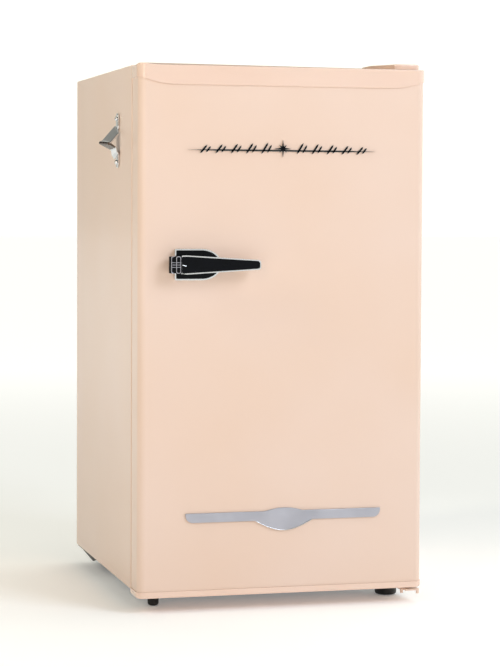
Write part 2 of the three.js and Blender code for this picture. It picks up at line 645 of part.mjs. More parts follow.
function addDoorTrim() {
  // long spear with a starburst at its middle, in place of a name
  const badge = { x: -3, z: 694, half: 146 };
  const star = new THREE.Shape();
  const points = 16;
  for (let i = 0; i < points; i += 1) {
    const angle = (i / points) * Math.PI * 2;
    const radius = i % 2 ? 4.5 : (i % 4 ? 9 : 14);
    const at = [badge.x + radius * Math.cos(angle), badge.z + radius * Math.sin(angle)];
    if (i) star.lineTo(...at); else star.moveTo(...at);
  }
  const spear = outline([[badge.x - badge.half, badge.z], [badge.x - 40, badge.z - 2.6],
    [badge.x + 40, badge.z - 2.6], [badge.x + badge.half, badge.z], [badge.x + 40, badge.z + 2.6],
    [badge.x - 40, badge.z + 2.6]]);
  piece(door, 'badge', throughY(star, -4, -gap).add(throughY(spear, -3, -gap)), chrome);

  const bar = { x: 1.5, half: 152.5, low: 135.4, high: 149.6 };
  const lens = new THREE.Shape();
  lens.moveTo(bar.x - bar.half + 6, bar.low);
  lens.lineTo(bar.x - 44, bar.low);
  lens.quadraticCurveTo(bar.x, bar.low - 29, bar.x + 44, bar.low);
  lens.lineTo(bar.x + bar.half - 6, bar.low);
  lens.quadraticCurveTo(bar.x + bar.half, bar.low, bar.x + bar.half, bar.high - 3);
  lens.lineTo(bar.x + bar.half, bar.high);
  lens.lineTo(bar.x + 30, bar.high);
  lens.quadraticCurveTo(bar.x, bar.high + 9.5, bar.x - 30, bar.high);
  lens.lineTo(bar.x - bar.half, bar.high);
  lens.lineTo(bar.x - bar.half, bar.high - 3);
  lens.quadraticCurveTo(bar.x - bar.half, bar.low, bar.x - bar.half + 6, bar.low);
  piece(door, 'lower_trim', throughY(lens, -2.6, -gap, 8), satinMetal);
}

addCabinetShell();
addLinerAndFoam();
addFeet();
addHinges();
addBottleOpener();
addCompressor();
addCondenser();
addFreezer();
addThermostat();
addShelves();
addCrisper();
addDoorCaps();
addDoorShell();
addDoorBins();
addHandle();
addDoorTrim();

export default fridge;
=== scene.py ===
import math

import bpy
from mathutils import Euler, Matrix, Vector


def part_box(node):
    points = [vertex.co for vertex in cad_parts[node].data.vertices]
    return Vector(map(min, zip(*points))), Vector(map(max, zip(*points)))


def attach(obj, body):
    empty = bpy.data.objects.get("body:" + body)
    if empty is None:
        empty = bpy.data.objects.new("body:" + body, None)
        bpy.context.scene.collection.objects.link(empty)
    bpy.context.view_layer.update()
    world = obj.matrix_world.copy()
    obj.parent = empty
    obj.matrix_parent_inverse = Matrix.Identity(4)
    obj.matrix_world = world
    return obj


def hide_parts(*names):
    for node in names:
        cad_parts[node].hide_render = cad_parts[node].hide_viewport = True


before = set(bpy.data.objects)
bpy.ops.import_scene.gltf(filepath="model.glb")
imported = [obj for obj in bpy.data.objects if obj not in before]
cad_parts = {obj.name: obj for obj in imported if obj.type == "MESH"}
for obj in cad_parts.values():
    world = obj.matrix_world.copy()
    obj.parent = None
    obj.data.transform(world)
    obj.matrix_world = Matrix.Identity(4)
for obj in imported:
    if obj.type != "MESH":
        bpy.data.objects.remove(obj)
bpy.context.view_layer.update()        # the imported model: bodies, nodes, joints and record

mm = 0.001

# every place below is in millimetres from the cabinet's centre line, the door skin and the floor
wrapLow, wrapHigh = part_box("cabinet_wrap")
panelLow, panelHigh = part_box("door_panel")
centreX = (wrapLow.x + wrapHigh.x) / 2
skinY = panelLow.y


def at(x, y, z):
    return Vector((centreX + x * mm, skinY + y * mm, z * mm))


def boxOf(node):
    # a CAD node's lowest and highest corners, in the millimetres above
    low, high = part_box(node)
    toMm = lambda p: Vector(((p.x - centreX) / mm, (p.y - skinY) / mm, p.z / mm))
    return toMm(low), toMm(high)


# modelling helpers

def only(piece):
    bpy.ops.object.select_all(action="DESELECT")
    piece.select_set(True)
    bpy.context.view_layer.objects.active = piece


def leaveEditMode():
    bpy.ops.object.mode_set(mode="OBJECT")


def editAll(piece):
    # enters edit mode with every point selected
    only(piece)
    bpy.ops.object.mode_set(mode="EDIT")
    bpy.ops.mesh.select_mode(type="VERT")
    bpy.ops.mesh.select_all(action="SELECT")


def settle(piece, name):
    # puts the place, turn and size into the mesh and names the piece
    only(piece)
    bpy.ops.object.transform_apply(location=True, rotation=True, scale=True)
    piece.name = name
    piece.data.name = name
    return piece


def modify(piece, kind, **settings):
    only(piece)
    modifier = piece.modifiers.new(kind.title(), kind)
    for key, value in settings.items():
        setattr(modifier, key, value)
    bpy.ops.object.modifier_apply(modifier=modifier.name)
    return piece


def pick(piece, kind, test):
    # enters edit mode with the faces, edges or points that pass a test on middle and direction
    only(piece)
    bpy.ops.object.mode_set(mode="EDIT")
    bpy.ops.mesh.select_mode(type=kind)
    bpy.ops.mesh.select_all(action="DESELECT")
    leaveEditMode()
    mesh = piece.data
    if kind == "FACE":
        for face in mesh.polygons:
            face.select = test(face.center, face.normal)
    elif kind == "EDGE":
        for edge in mesh.edges:
            a, b = (mesh.vertices[i].co for i in edge.vertices)
            edge.select = test((a + b) / 2, (b - a).normalized())
    else:
        for vertex in mesh.vertices:
            vertex.select = test(vertex.co, vertex.normal)
    bpy.ops.object.mode_set(mode="EDIT")


def tidyMesh(piece, distance=0.01):
    editAll(piece)
    bpy.ops.mesh.remove_doubles(threshold=distance * mm)
    bpy.ops.mesh.normals_make_consistent(inside=False)
    leaveEditMode()
    return piece


def drawPath(name, points, fill=True):
    # draws an outline by extruding one point from corner to corner
    bpy.ops.object.select_all(action="DESELECT")
    bpy.ops.mesh.primitive_plane_add(size=mm, location=points[0])
    piece = settle(bpy.context.object, name)
    editAll(piece)
    bpy.ops.mesh.merge(type="CENTER")
    for here, there in zip(points, points[1:]):
        bpy.ops.mesh.extrude_region_move(TRANSFORM_OT_translate={"value": there - here})
    bpy.ops.mesh.select_all(action="SELECT")
    if fill:
        bpy.ops.mesh.edge_face_add()
    leaveEditMode()
    return piece


def pull(piece, step):
    # extrudes all of an outline and turns its faces outwards
    editAll(piece)
    bpy.ops.mesh.extrude_region_move(TRANSFORM_OT_translate={"value": step})
    bpy.ops.mesh.select_all(action="SELECT")
    bpy.ops.mesh.normals_make_consistent(inside=False)
    leaveEditMode()
    return piece


def addBlock(name, low, high):
    low, high = at(*low), at(*high)
    bpy.ops.object.select_all(action="DESELECT")
    bpy.ops.mesh.primitive_cube_add(size=1, location=(low + high) / 2, scale=high - low)
    return settle(bpy.context.object, name)


def turnRound(name, profile, centre, axis="Z", steps=48):
    # spins (radius, height) pairs round an axis through a centre
    along = {"X": Vector((1, 0, 0)), "Y": Vector((0, 1, 0)), "Z": Vector((0, 0, 1))}[axis]
    across = Vector((0, 0, 1)) if axis == "X" else Vector((1, 0, 0))
    points = [centre + across * r * mm + along * h * mm for r, h in profile]
    piece = drawPath(name, points, fill=False)
    editAll(piece)
    bpy.ops.mesh.spin(steps=steps, angle=math.tau, center=centre, axis=along)
    leaveEditMode()
    return tidyMesh(piece, 0.002)


def tubeAlong(name, points, radius, smooth=True, sides=6, closed=False):
    # a round bar along a line of points, made a mesh
    curve = bpy.data.curves.new(name, "CURVE")
    curve.dimensions = "3D"
    curve.bevel_depth = radius * mm
    curve.bevel_resolution = sides // 2
    curve.resolution_u = 8
    curve.use_fill_caps = True
    spline = curve.splines.new("BEZIER" if smooth else "POLY")
    if smooth:
        spline.bezier_points.add(len(points) - 1)
        for knot, point in zip(spline.bezier_points, points):
            knot.co = point
            knot.handle_left_type = knot.handle_right_type = "AUTO"
    else:
        spline.points.add(len(points) - 1)
        for knot, point in zip(spline.points, points):
            knot.co = (*point, 1)
    spline.use_cyclic_u = closed
    piece = bpy.data.objects.new(name, curve)
    bpy.context.collection.objects.link(piece)
    only(piece)
    bpy.ops.object.convert(target="MESH")
    return tidyMesh(bpy.context.object, 0.002)


def soften(piece, width, segments=3, angle=30):
    # rounds every edge sharper than an angle
    return modify(piece, "BEVEL", width=width * mm, segments=segments, limit_method="ANGLE",
                  angle_limit=math.radians(angle), use_clamp_overlap=True)


def smooth(piece, angle=40):
    only(piece)
    bpy.ops.object.shade_smooth_by_angle(angle=math.radians(angle))
    return modify(piece, "WEIGHTED_NORMAL", keep_sharp=True, weight=80)


def dress(piece, body, material, slot, *nodes, angle=40):
    # smooths, paints and mounts a finished piece in place of its CAD nodes
    smooth(piece, angle)
    piece.data.materials.clear()
    piece.data.materials.append(material)
    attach(piece, body)
    if nodes:
        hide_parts(*nodes)
    return piece


def merge(name, *pieces):
    only(pieces[0])
    for piece in pieces:
        piece.select_set(True)
    bpy.ops.object.join()
    pieces[0].name = name
    pieces[0].data.name = name
    return pieces[0]


def cut(piece, *cutters):
    for cutter in cutters:
        modify(piece, "BOOLEAN", object=cutter, operation="DIFFERENCE", solver="EXACT")
        bpy.data.objects.remove(cutter)
    return piece


def copyOf(piece, name, step):
    # a copy with its own mesh, moved by a step in metres
    twin = piece.copy()
    twin.data = piece.data.copy()
    bpy.context.collection.objects.link(twin)
    twin.location = step
    return settle(twin, name)


def fineCopy(node, width=0.0, segments=3, rounds=0, angle=30):
    # a merged copy of a CAD node with rounded edges; rounds halves its facets so many times
    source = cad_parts[node]
    piece = bpy.data.objects.new(f"{node}_fine", source.data.copy())
    bpy.context.collection.objects.link(piece)
    piece.data.materials.clear()
    editAll(piece)
    bpy.ops.mesh.remove_doubles(threshold=0.005 * mm)
    bpy.ops.mesh.dissolve_limited(angle_limit=math.radians(0.5))
    leaveEditMode()
    if rounds:
        modify(piece, "SUBSURF", levels=rounds, render_levels=rounds)
    if width:
        soften(piece, width, segments, angle)
    return piece


def arc(x, y, radius, start, end, steps=12):
    # points on a circle, angles in degrees
    turn = [math.radians(start + (end - start) * i / steps) for i in range(steps + 1)]
    return [(x + radius * math.cos(t), y + radius * math.sin(t)) for t in turn]


def roundedBox(a0, a1, b0, b1, radius, steps=8):
    return (arc(a1 - radius, b0 + radius, radius, -90, 0, steps)
            + arc(a1 - radius, b1 - radius, radius, 0, 90, steps)
            + arc(a0 + radius, b1 - radius, radius, 90, 180, steps)
            + arc(a0 + radius, b0 + radius, radius, 180, 270, steps))


def fromFront(name, outline, front, back):
    # an (x, z) outline carried from one depth to another
    piece = drawPath(name, [at(x, front, z) for x, z in outline])
    return pull(piece, Vector((0, (back - front) * mm, 0)))


def fromAbove(name, outline, low, high):
    # an (x, y) outline raised from one height to another
    piece = drawPath(name, [at(x, y, low) for x, y in outline])
    return pull(piece, Vector((0, 0, (high - low) * mm)))


def fromSide(name, outline, left, right):
    # a (y, z) outline carried from one side to the other
    piece = drawPath(name, [at(left, y, z) for y, z in outline])
    return pull(piece, Vector(((right - left) * mm, 0, 0)))


# materials

def colour(text):
    # an sRGB hex colour as linear red, green, blue and alpha
    parts = [int(text[i:i + 2], 16) / 255 for i in (1, 3, 5)]
    return [c / 12.92 if c <= 0.04045 else ((c + 0.055) / 1.055) ** 2.4 for c in parts] + [1.0]


def addNode(tree, kind, settings=None, links=None):
    node = tree.nodes.new(kind)
    for key, value in (settings or {}).items():
        if isinstance(key, int) or key in node.inputs:
            node.inputs[key].default_value = value
        else:
            setattr(node, key, value)
    for key, source in (links or {}).items():
        tree.links.new(source, node.inputs[key])
    return node


def startMaterial(name, shaderSettings):
    # a material with its shader, and the object coordinates that its patterns read
    material = bpy.data.materials.new(name)
    material.use_nodes = True
    tree = material.node_tree
    tree.nodes.clear()
    shader = addNode(tree, "ShaderNodeBsdfPrincipled", shaderSettings)
    addNode(tree, "ShaderNodeOutputMaterial", links={"Surface": shader.outputs[0]})
    place = addNode(tree, "ShaderNodeTexCoord").outputs["Object"]
    return material, tree, shader, place


def spread(tree, shader, socket, source, low, high, fromLow=0.3, fromHigh=0.7):
    # drives a shader value between two limits from a pattern
    band = addNode(tree, "ShaderNodeMapRange", {"From Min": fromLow, "From Max": fromHigh,
                                                 "To Min": low, "To Max": high}, {"Value": source})
    tree.links.new(band.outputs[0], shader.inputs[socket])


def tint(tree, shader, source, first, second, low=0.3, high=0.7):
    # runs the base colour between two shades along a pattern
    ramp = addNode(tree, "ShaderNodeValToRGB", links={"Fac": source})
    ramp.color_ramp.elements[0].position = low
    ramp.color_ramp.elements[0].color = colour(first)
    ramp.color_ramp.elements[1].position = high
    ramp.color_ramp.elements[1].color = colour(second)
    tree.links.new(ramp.outputs[0], shader.inputs["Base Color"])


def roughen(tree, shader, source, distance, strength=1.0):
    # bump from a pattern, its height in millimetres
    bump = addNode(tree, "ShaderNodeBump", {"Strength": strength, "Distance": distance * mm},
                   {"Height": source})
    tree.links.new(bump.outputs[0], shader.inputs["Normal"])


def grainEvery(size):
    # noise scale for features of a size in millimetres
    return 1 / (size * mm)


paint = {"light": "#ecd2c3", "dark": "#eacdba", "peel": 11, "peelHeight": 0.002}


def makeGlossEnamel():
    # baked gloss enamel on sheet steel: a smooth coat with a faint orange peel and slow colour drift
    material, tree, shader, place = startMaterial("glossEnamelOnSteel", {
        "IOR": 1.5, "Coat Weight": 0.2, "Coat Roughness": 0.1, "Specular IOR Level": 0.35})
    drift = addNode(tree, "ShaderNodeTexNoise", {"Scale": grainEvery(260), "Detail": 2.0}, {"Vector": place})
    peel = addNode(tree, "ShaderNodeTexNoise", {"Scale": grainEvery(paint["peel"]), "Detail": 1.0},
                   {"Vector": place})
    wipe = addNode(tree, "ShaderNodeTexNoise", {"Scale": grainEvery(180), "Detail": 1.0}, {"Vector": place})
    tint(tree, shader, drift.outputs["Fac"], paint["dark"], paint["light"])
    spread(tree, shader, "Roughness", wipe.outputs["Fac"], 0.29, 0.33)
    roughen(tree, shader, peel.outputs["Fac"], paint["peelHeight"])
    return material


def makeGlossAbs():
    # injection-moulded ABS in the body colour: glossier than the paint, with a faint flow pattern
    material, tree, shader, place = startMaterial("glossMouldedAbs", {
        "IOR": 1.53, "Coat Weight": 0.5, "Coat Roughness": 0.04, "Subsurface Weight": 0.03,
        "Subsurface Radius": (0.004, 0.002, 0.001), "Subsurface Scale": 1.0})
    flow = addNode(tree, "ShaderNodeTexNoise", {"Scale": grainEvery(120), "Detail": 3.0}, {"Vector": place})
    skin = addNode(tree, "ShaderNodeTexNoise", {"Scale": grainEvery(14), "Detail": 1.0}, {"Vector": place})
    tint(tree, shader, flow.outputs["Fac"], "#efcfbd", "#f1d3c2")
    spread(tree, shader, "Roughness", skin.outputs["Fac"], 0.16, 0.22)
    roughen(tree, shader, skin.outputs["Fac"], 0.002)
    return material


def makeChromePlate():
    # bright chrome over polished zinc die-cast: near mirror, with faint polishing swirls and haze
    material, tree, shader, place = startMaterial("polishedChromePlate", {"Metallic": 1.0})
    haze = addNode(tree, "ShaderNodeTexNoise", {"Scale": grainEvery(9), "Detail": 5.0}, {"Vector": place})
    tint(tree, shader, haze.outputs["Fac"], "#d9dbde", "#e6e7e9")
    spread(tree, shader, "Roughness", haze.outputs["Fac"], 0.05, 0.11)
    roughen(tree, shader, haze.outputs["Fac"], 0.004)
    return material


def makeBrushedMetal(name, first, second, along, roughness):
    # brushed metal, anodised or rolled, or chrome darkened with a painted dark reflection: fine scratches run
    # one way and spread the highlight
    material, tree, shader, place = startMaterial(name, {"Metallic": 1.0, "Anisotropic": 0.4})
    stretch = addNode(tree, "ShaderNodeMapping", {"Scale": along}, {"Vector": place})
    brush = addNode(tree, "ShaderNodeTexNoise", {"Scale": grainEvery(0.9), "Detail": 3.0},
                    {"Vector": stretch.outputs[0]})
    cloud = addNode(tree, "ShaderNodeTexNoise", {"Scale": grainEvery(45), "Detail": 2.0}, {"Vector": place})
    tint(tree, shader, cloud.outputs["Fac"], first, second)
    spread(tree, shader, "Roughness", brush.outputs["Fac"], roughness - 0.06, roughness + 0.08)
    roughen(tree, shader, brush.outputs["Fac"], 0.01)
    return material


def makeBlackEnamel():
    # poured black enamel in the handle's recess: deep gloss with the slightest ripple
    material, tree, shader, place = startMaterial("pouredBlackEnamel", {
        "IOR": 1.5, "Specular IOR Level": 0.12, "Coat Weight": 0.0, "Coat Roughness": 0.03})
    ripple = addNode(tree, "ShaderNodeTexNoise", {"Scale": grainEvery(14), "Detail": 1.0}, {"Vector": place})
    tint(tree, shader, ripple.outputs["Fac"], "#07090d", "#0b0d12")
    spread(tree, shader, "Roughness", ripple.outputs["Fac"], 0.12, 0.18)
    roughen(tree, shader, ripple.outputs["Fac"], 0.02)
    return material


def makeGrainedPlastic(name, first, second, roughness, grain, height):
    # moulded plastic or rubber with a spark-eroded grain, rubbed a little smoother in patches
    material, tree, shader, place = startMaterial(name, {"IOR": 1.5, "Specular IOR Level": 0.4})
    pits = addNode(tree, "ShaderNodeTexNoise", {"Scale": grainEvery(grain), "Detail": 4.0}, {"Vector": place})
    rub = addNode(tree, "ShaderNodeTexNoise", {"Scale": grainEvery(22), "Detail": 3.0}, {"Vector": place})
    tint(tree, shader, rub.outputs["Fac"], first, second)
    spread(tree, shader, "Roughness", rub.outputs["Fac"], roughness - 0.08, roughness + 0.08)
    roughen(tree, shader, pits.outputs["Fac"], height)
    return material


def makeWhitePolystyrene():
    # vacuum-formed high-impact polystyrene: soft gloss, stretched thin so slightly uneven
    material, tree, shader, place = startMaterial("vacuumFormedPolystyrene", {
        "IOR": 1.59, "Coat Weight": 0.15, "Coat Roughness": 0.15, "Subsurface Weight": 0.05,
        "Subsurface Radius": (0.003, 0.003, 0.003), "Subsurface Scale": 1.0})
    draw = addNode(tree, "ShaderNodeTexNoise", {"Scale": grainEvery(70), "Detail": 2.0}, {"Vector": place})
    skin = addNode(tree, "ShaderNodeTexNoise", {"Scale": grainEvery(1.6), "Detail": 2.0}, {"Vector": place})
    tint(tree, shader, draw.outputs["Fac"], "#ecedea", "#f3f4f1")
    spread(tree, shader, "Roughness", draw.outputs["Fac"], 0.3, 0.42)
    roughen(tree, shader, skin.outputs["Fac"], 0.008)
    return material


def makeClearPolystyrene():
    # clear moulded polystyrene: transparent, cool at its edges, with fine handling scratches
    material, tree, shader, place = startMaterial("clearMouldedPolystyrene", {
        "Base Color": colour("#fafcfc"), "IOR": 1.3, "Transmission Weight": 0.5})
    marks = addNode(tree, "ShaderNodeTexNoise", {"Scale": grainEvery(12), "Detail": 6.0}, {"Vector": place})
    spread(tree, shader, "Roughness", marks.outputs["Fac"], 0.05, 0.16)
    roughen(tree, shader, marks.outputs["Fac"], 0.02)
    return material


def makeFloatGlass():
    # toughened float glass: clear with a green body and faint roller waves
    material, tree, shader, place = startMaterial("toughenedFloatGlass", {
        "Base Color": colour("#e8f6f0"), "IOR": 1.4, "Transmission Weight": 0.9})
    wave = addNode(tree, "ShaderNodeTexNoise", {"Scale": grainEvery(60), "Detail": 1.0}, {"Vector": place})
    spread(tree, shader, "Roughness", wave.outputs["Fac"], 0.01, 0.05)
    roughen(tree, shader, wave.outputs["Fac"], 0.05)
    return material


def makeGalvanisedSheet():
    # hot-dip galvanised sheet: flat zinc crystals, each with its own shade and gloss
    material, tree, shader, place = startMaterial("galvanisedSheet", {"Metallic": 0.9})
    spangle = addNode(tree, "ShaderNodeTexVoronoi", {"Scale": grainEvery(9), "Randomness": 1.0},
                      {"Vector": place})
    shade = addNode(tree, "ShaderNodeSeparateColor", links={"Color": spangle.outputs["Color"]})
    tint(tree, shader, shade.outputs[0], "#8f9497", "#aeb2b4", 0.0, 1.0)
    spread(tree, shader, "Roughness", shade.outputs[1], 0.34, 0.55, 0.0, 1.0)
    roughen(tree, shader, spangle.outputs["Distance"], 0.02)
    return material


def makeStoveEnamel():
    # black stoved paint on pressed steel: half matt, dusty, with a fine texture
    material, tree, shader, place = startMaterial("blackStoveEnamel", {"IOR": 1.5, "Metallic": 0.1})
    dust = addNode(tree, "ShaderNodeTexNoise", {"Scale": grainEvery(30), "Detail": 6.0}, {"Vector": place})
    grit = addNode(tree, "ShaderNodeTexNoise", {"Scale": grainEvery(0.9), "Detail": 3.0}, {"Vector": place})
    tint(tree, shader, dust.outputs["Fac"], "#1f2022", "#2c2d2f")
    spread(tree, shader, "Roughness", dust.outputs["Fac"], 0.42, 0.6)
    roughen(tree, shader, grit.outputs["Fac"], 0.02)
    return material


def makeDrawnCopper():
    # drawn copper tube: bright metal with brown handling tarnish
    material, tree, shader, place = startMaterial("drawnCopperTube", {"Metallic": 1.0})
    tarnish = addNode(tree, "ShaderNodeTexNoise", {"Scale": grainEvery(14), "Detail": 6.0}, {"Vector": place})
    tint(tree, shader, tarnish.outputs["Fac"], "#8c4d31", "#c98257", 0.35, 0.65)
    spread(tree, shader, "Roughness", tarnish.outputs["Fac"], 0.22, 0.45)
    roughen(tree, shader, tarnish.outputs["Fac"], 0.01)
    return material


def makeRigidFoam():
    # blown polyurethane foam: matt honey-yellow cells
    material, tree, shader, place = startMaterial("blownPolyurethaneFoam", {"Roughness": 0.9})
    cells = addNode(tree, "ShaderNodeTexVoronoi", {"Scale": grainEvery(1.2)}, {"Vector": place})
    tint(tree, shader, cells.outputs["Distance"], "#e9d8a2", "#d8c284", 0.0, 0.8)
    roughen(tree, shader, cells.outputs["Distance"], 0.2)
    return material


enamel = makeGlossEnamel()
mouldedAbs = makeGlossAbs()
chrome = makeChromePlate()
satin = makeBrushedMetal("satinAnodisedTrim", "#b1b1bb", "#c1c1cb", (0.04, 1.0, 1.0), 0.38)
# chrome for the opener's arm, darkened with a painted dark reflection
chromePaintedDarkReflection = makeBrushedMetal("chromeWithPaintedDarkReflection", "#645c58", "#746b66", (1.0, 0.05, 1.0), 0.24)
evaporatorSheet = makeBrushedMetal("rolledEvaporatorAluminium", "#c3c6c8", "#d3d6d8",
                                   (1.0, 0.06, 1.0), 0.36)
blackEnamel = makeBlackEnamel()
blackPlastic = makeGrainedPlastic("grainedBlackPolypropylene", "#151415", "#1c1b1c", 0.45, 1.1, 0.02)
rubber = makeGrainedPlastic("mouldedNitrileRubber", "#1d1d1e", "#262627", 0.72, 1.4, 0.03)
sealVinyl = makeGrainedPlastic("extrudedSealVinyl", "#e2cdbd", "#e9d6c7", 0.5, 1.8, 0.02)
whiteStyrene = makeWhitePolystyrene()
clearStyrene = makeClearPolystyrene()
glass = makeFloatGlass()
zinc = makeGalvanisedSheet()
stoveEnamel = makeStoveEnamel()
copper = makeDrawnCopper()
foam = makeRigidFoam()
print("materials made")

for node, material in (("insulation", foam), ("door_foam", foam)):
    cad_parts[node].data.materials.clear()
    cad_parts[node].data.materials.append(material)


# cabinet shell

wrap = {"corner": 2.4, "frontReturn": 34, "rearReturn": 10, "sheet": 1.2, "frontRound": 1.6,
        "rearRound": 1.0}


def buildWrap():
    # one folded sheet: two sides and the top, with returns round the front and rear openings
    low, high = boxOf("cabinet_wrap")
    radius = wrap["corner"]
    outer = ([(high.x, low.z)] + arc(high.x - radius, high.z - radius, radius, 0, 90, 14)
             + arc(low.x + radius, high.z - radius, radius, 90, 180, 14) + [(low.x, low.z)])
    walls = drawPath("cabinet_sheet", [at(x, low.y, z) for x, z in outer], fill=False)
    pull(walls, Vector((0, (high.y - low.y) * mm, 0)))
    returns = []
    for depth, width in ((low.y, wrap["frontReturn"]), (high.y, wrap["rearReturn"])):
        inner = [(low.x + width, low.z), (low.x + width, high.z - width), (high.x - width, high.z - width),
                 (high.x - width, low.z)]
        returns.append(drawPath("return", [at(x, depth, z) for x, z in outer + inner]))
    shell = tidyMesh(merge("cabinet_sheet", walls, *returns))
    faceOut(shell)
    side = (high.x - 1) * mm
    for depth, roundness in ((low.y, wrap["frontRound"]), (high.y, wrap["rearRound"])):
        place = at(0, depth, 0).y
        pick(shell, "EDGE", lambda middle, way: abs(middle.y - place) < 0.01 * mm and (
             abs(middle.x - centreX) > side or middle.z > (high.z - wrap["corner"]) * mm)
             and middle.z > (low.z + 0.1) * mm)
        bpy.ops.mesh.bevel(offset=roundness * mm, segments=5, affect="EDGES")
        leaveEditMode()
    modify(shell, "SOLIDIFY", thickness=wrap["sheet"] * mm, offset=-1, use_even_offset=True)
    dress(shell, "cabinet", enamel, "body_enamel", "cabinet_wrap")


def buildCabinet():
    buildWrap()
    dress(fineCopy("bottom_rail", 0.3, 2), "cabinet", enamel, "body_enamel", "bottom_rail")
    dress(fineCopy("floor_panel", 0.3, 2), "cabinet", zinc, "zinc_steel", "floor_panel")
    dress(fineCopy("inner_liner", 1.2, 3), "cabinet", whiteStyrene, "white_plastic", "inner_liner")
    dress(fineCopy("top_hinge", 0.3, 2), "cabinet", zinc, "zinc_steel", "top_hinge")
    dress(fineCopy("bottom_hinge", 0.7, 3), "cabinet", enamel, "body_enamel", "bottom_hinge")


back = {"emboss": 0.8, "frame": 26}


def buildBackPanel():
    # galvanised back with a raised field, foam-hole plugs and a row of pan-head screws
    low, high = boxOf("back_panel")
    panel = fineCopy("back_panel", 0.2, 2)
    rear = high.y
    border = back["frame"]
    field = fromFront("raised_field", roundedBox(low.x + border, high.x - border, low.z + border,
                                                 high.z - border, 14), rear - 0.2, rear + back["emboss"])
    pick(field, "FACE", lambda centre, normal: normal.y > 0.9)
    bpy.ops.transform.resize(value=(0.992, 1, 0.996), center_override=field.data.polygons[0].center)
    leaveEditMode()
    soften(field, 0.3, 2)
    dress(merge("back_sheet", panel, field), "cabinet", zinc, "zinc_steel", "back_panel")
    head = [(0, 1.9), (1.6, 1.8), (2.8, 1.2), (3.4, 0.3), (3.4, 0.0), (0, 0.0)]
    screws = []
    xs = (low.x + 12, high.x - 12)
    for x in xs:
        for step in range(5):
            z = low.z + 20 + step * (high.z - low.z - 40) / 4
            screws.append(turnRound("screw", head, at(x, rear, z), "Y", 20))
    for x in (-110, 0, 110):
        screws.append(turnRound("screw", head, at(x, rear, low.z + 12), "Y", 20))
    dress(merge("back_screws", *screws), "cabinet", zinc, "zinc_steel")
    plug = [(0, 0.9), (7.5, 0.9), (9, 0.4), (9, 0), (0, 0)]
    plugs = [turnRound("plug", plug, at(x, rear + back["emboss"], low.z + 70), "Y", 28) for x in (-60, 60)]
    dress(merge("foam_plugs", *plugs), "cabinet", blackPlastic, "black_plastic")


# door skin and end caps

door = {"half": (panelHigh.x - panelLow.x) / 2 / mm, "corner": 12, "skin": 1, "proud": 1.5, "skirt": 1.2}


def doorOutline(grow, back, frontSteps=1, steps=14):
    # the door seen from above: round front corners, and a front run cut into equal steps
    x = door["half"] + grow
    radius = door["corner"] + grow
    front = -grow
    left = arc(-x + radius, front + radius, radius, 180, 270, steps)
    right = arc(x - radius, front + radius, radius, 270, 360, steps)
    run = [(left[-1][0] + (right[0][0] - left[-1][0]) * i / frontSteps, front) for i in range(1, frontSteps)]
    return [(-x, back)] + left + run + right + [(x, back)]


def buildDoorSkin():
    low, high = boxOf("door_panel")
    skin = drawPath("door_skin", [at(x, y, low.z) for x, y in doorOutline(0, high.y)], fill=False)
    pull(skin, Vector((0, 0, (high.z - low.z) * mm)))
    faceOut(skin)
    modify(skin, "SOLIDIFY", thickness=door["skin"] * mm, offset=-1, use_even_offset=True)
    dress(skin, "door", enamel, "body_enamel", "door_panel")


def faceOut(piece):
    # an open sheet has no inside, so its front decides which way it faces
    front = min(piece.data.polygons, key=lambda face: face.center.y)
    if front.normal.y > 0:
        editAll(piece)
        bpy.ops.mesh.flip_normals()
        leaveEditMode()


def lid(name, rim, top, roundness, wall, segments=5):
    # a thin shell: its open edge follows a rim in space and its closed face lies flat at one height
    piece = drawPath(name, [at(*point) for point in rim])
    rise = (top - sum(point[2] for point in rim) / len(rim)) * mm
    editAll(piece)
    bpy.ops.mesh.extrude_region_move(TRANSFORM_OT_translate={"value": (0, 0, rise)})
    bpy.ops.transform.resize(value=(1, 1, 0), center_override=(0, 0, top * mm))
    bpy.ops.mesh.select_all(action="SELECT")
    bpy.ops.mesh.normals_make_consistent(inside=False)
    leaveEditMode()
    up = 1 if rise > 0 else -1
    pick(piece, "FACE", lambda centre, normal: normal.z * up < -0.5)
    bpy.ops.mesh.delete(type="FACE")
    leaveEditMode()
    tidyMesh(piece)
    faceOut(piece)
    pick(piece, "EDGE", lambda middle, way: abs(middle.z - top * mm) < 0.01 * mm)
    bpy.ops.mesh.bevel(offset=roundness * mm, segments=segments, affect="EDGES")
    leaveEditMode()
    modify(piece, "SOLIDIFY", thickness=wall * mm, offset=-1, use_even_offset=True)
    return piece


capShape = {"slab": 10, "rise": 10, "bendStart": 167, "bendEnd": 219, "topRound": 1.4, "bottomRound": 3.6,
            "bottomSlab": 6}


def topCapEdge(x, low):
    # height of the top cap's lower edge: level across the middle, sweeping up near both ends
    run = (abs(x) - capShape["bendStart"]) / (capShape["bendEnd"] - capShape["bendStart"])
    run = min(max(run, 0), 1)
    return low + capShape["rise"] * run ** 2


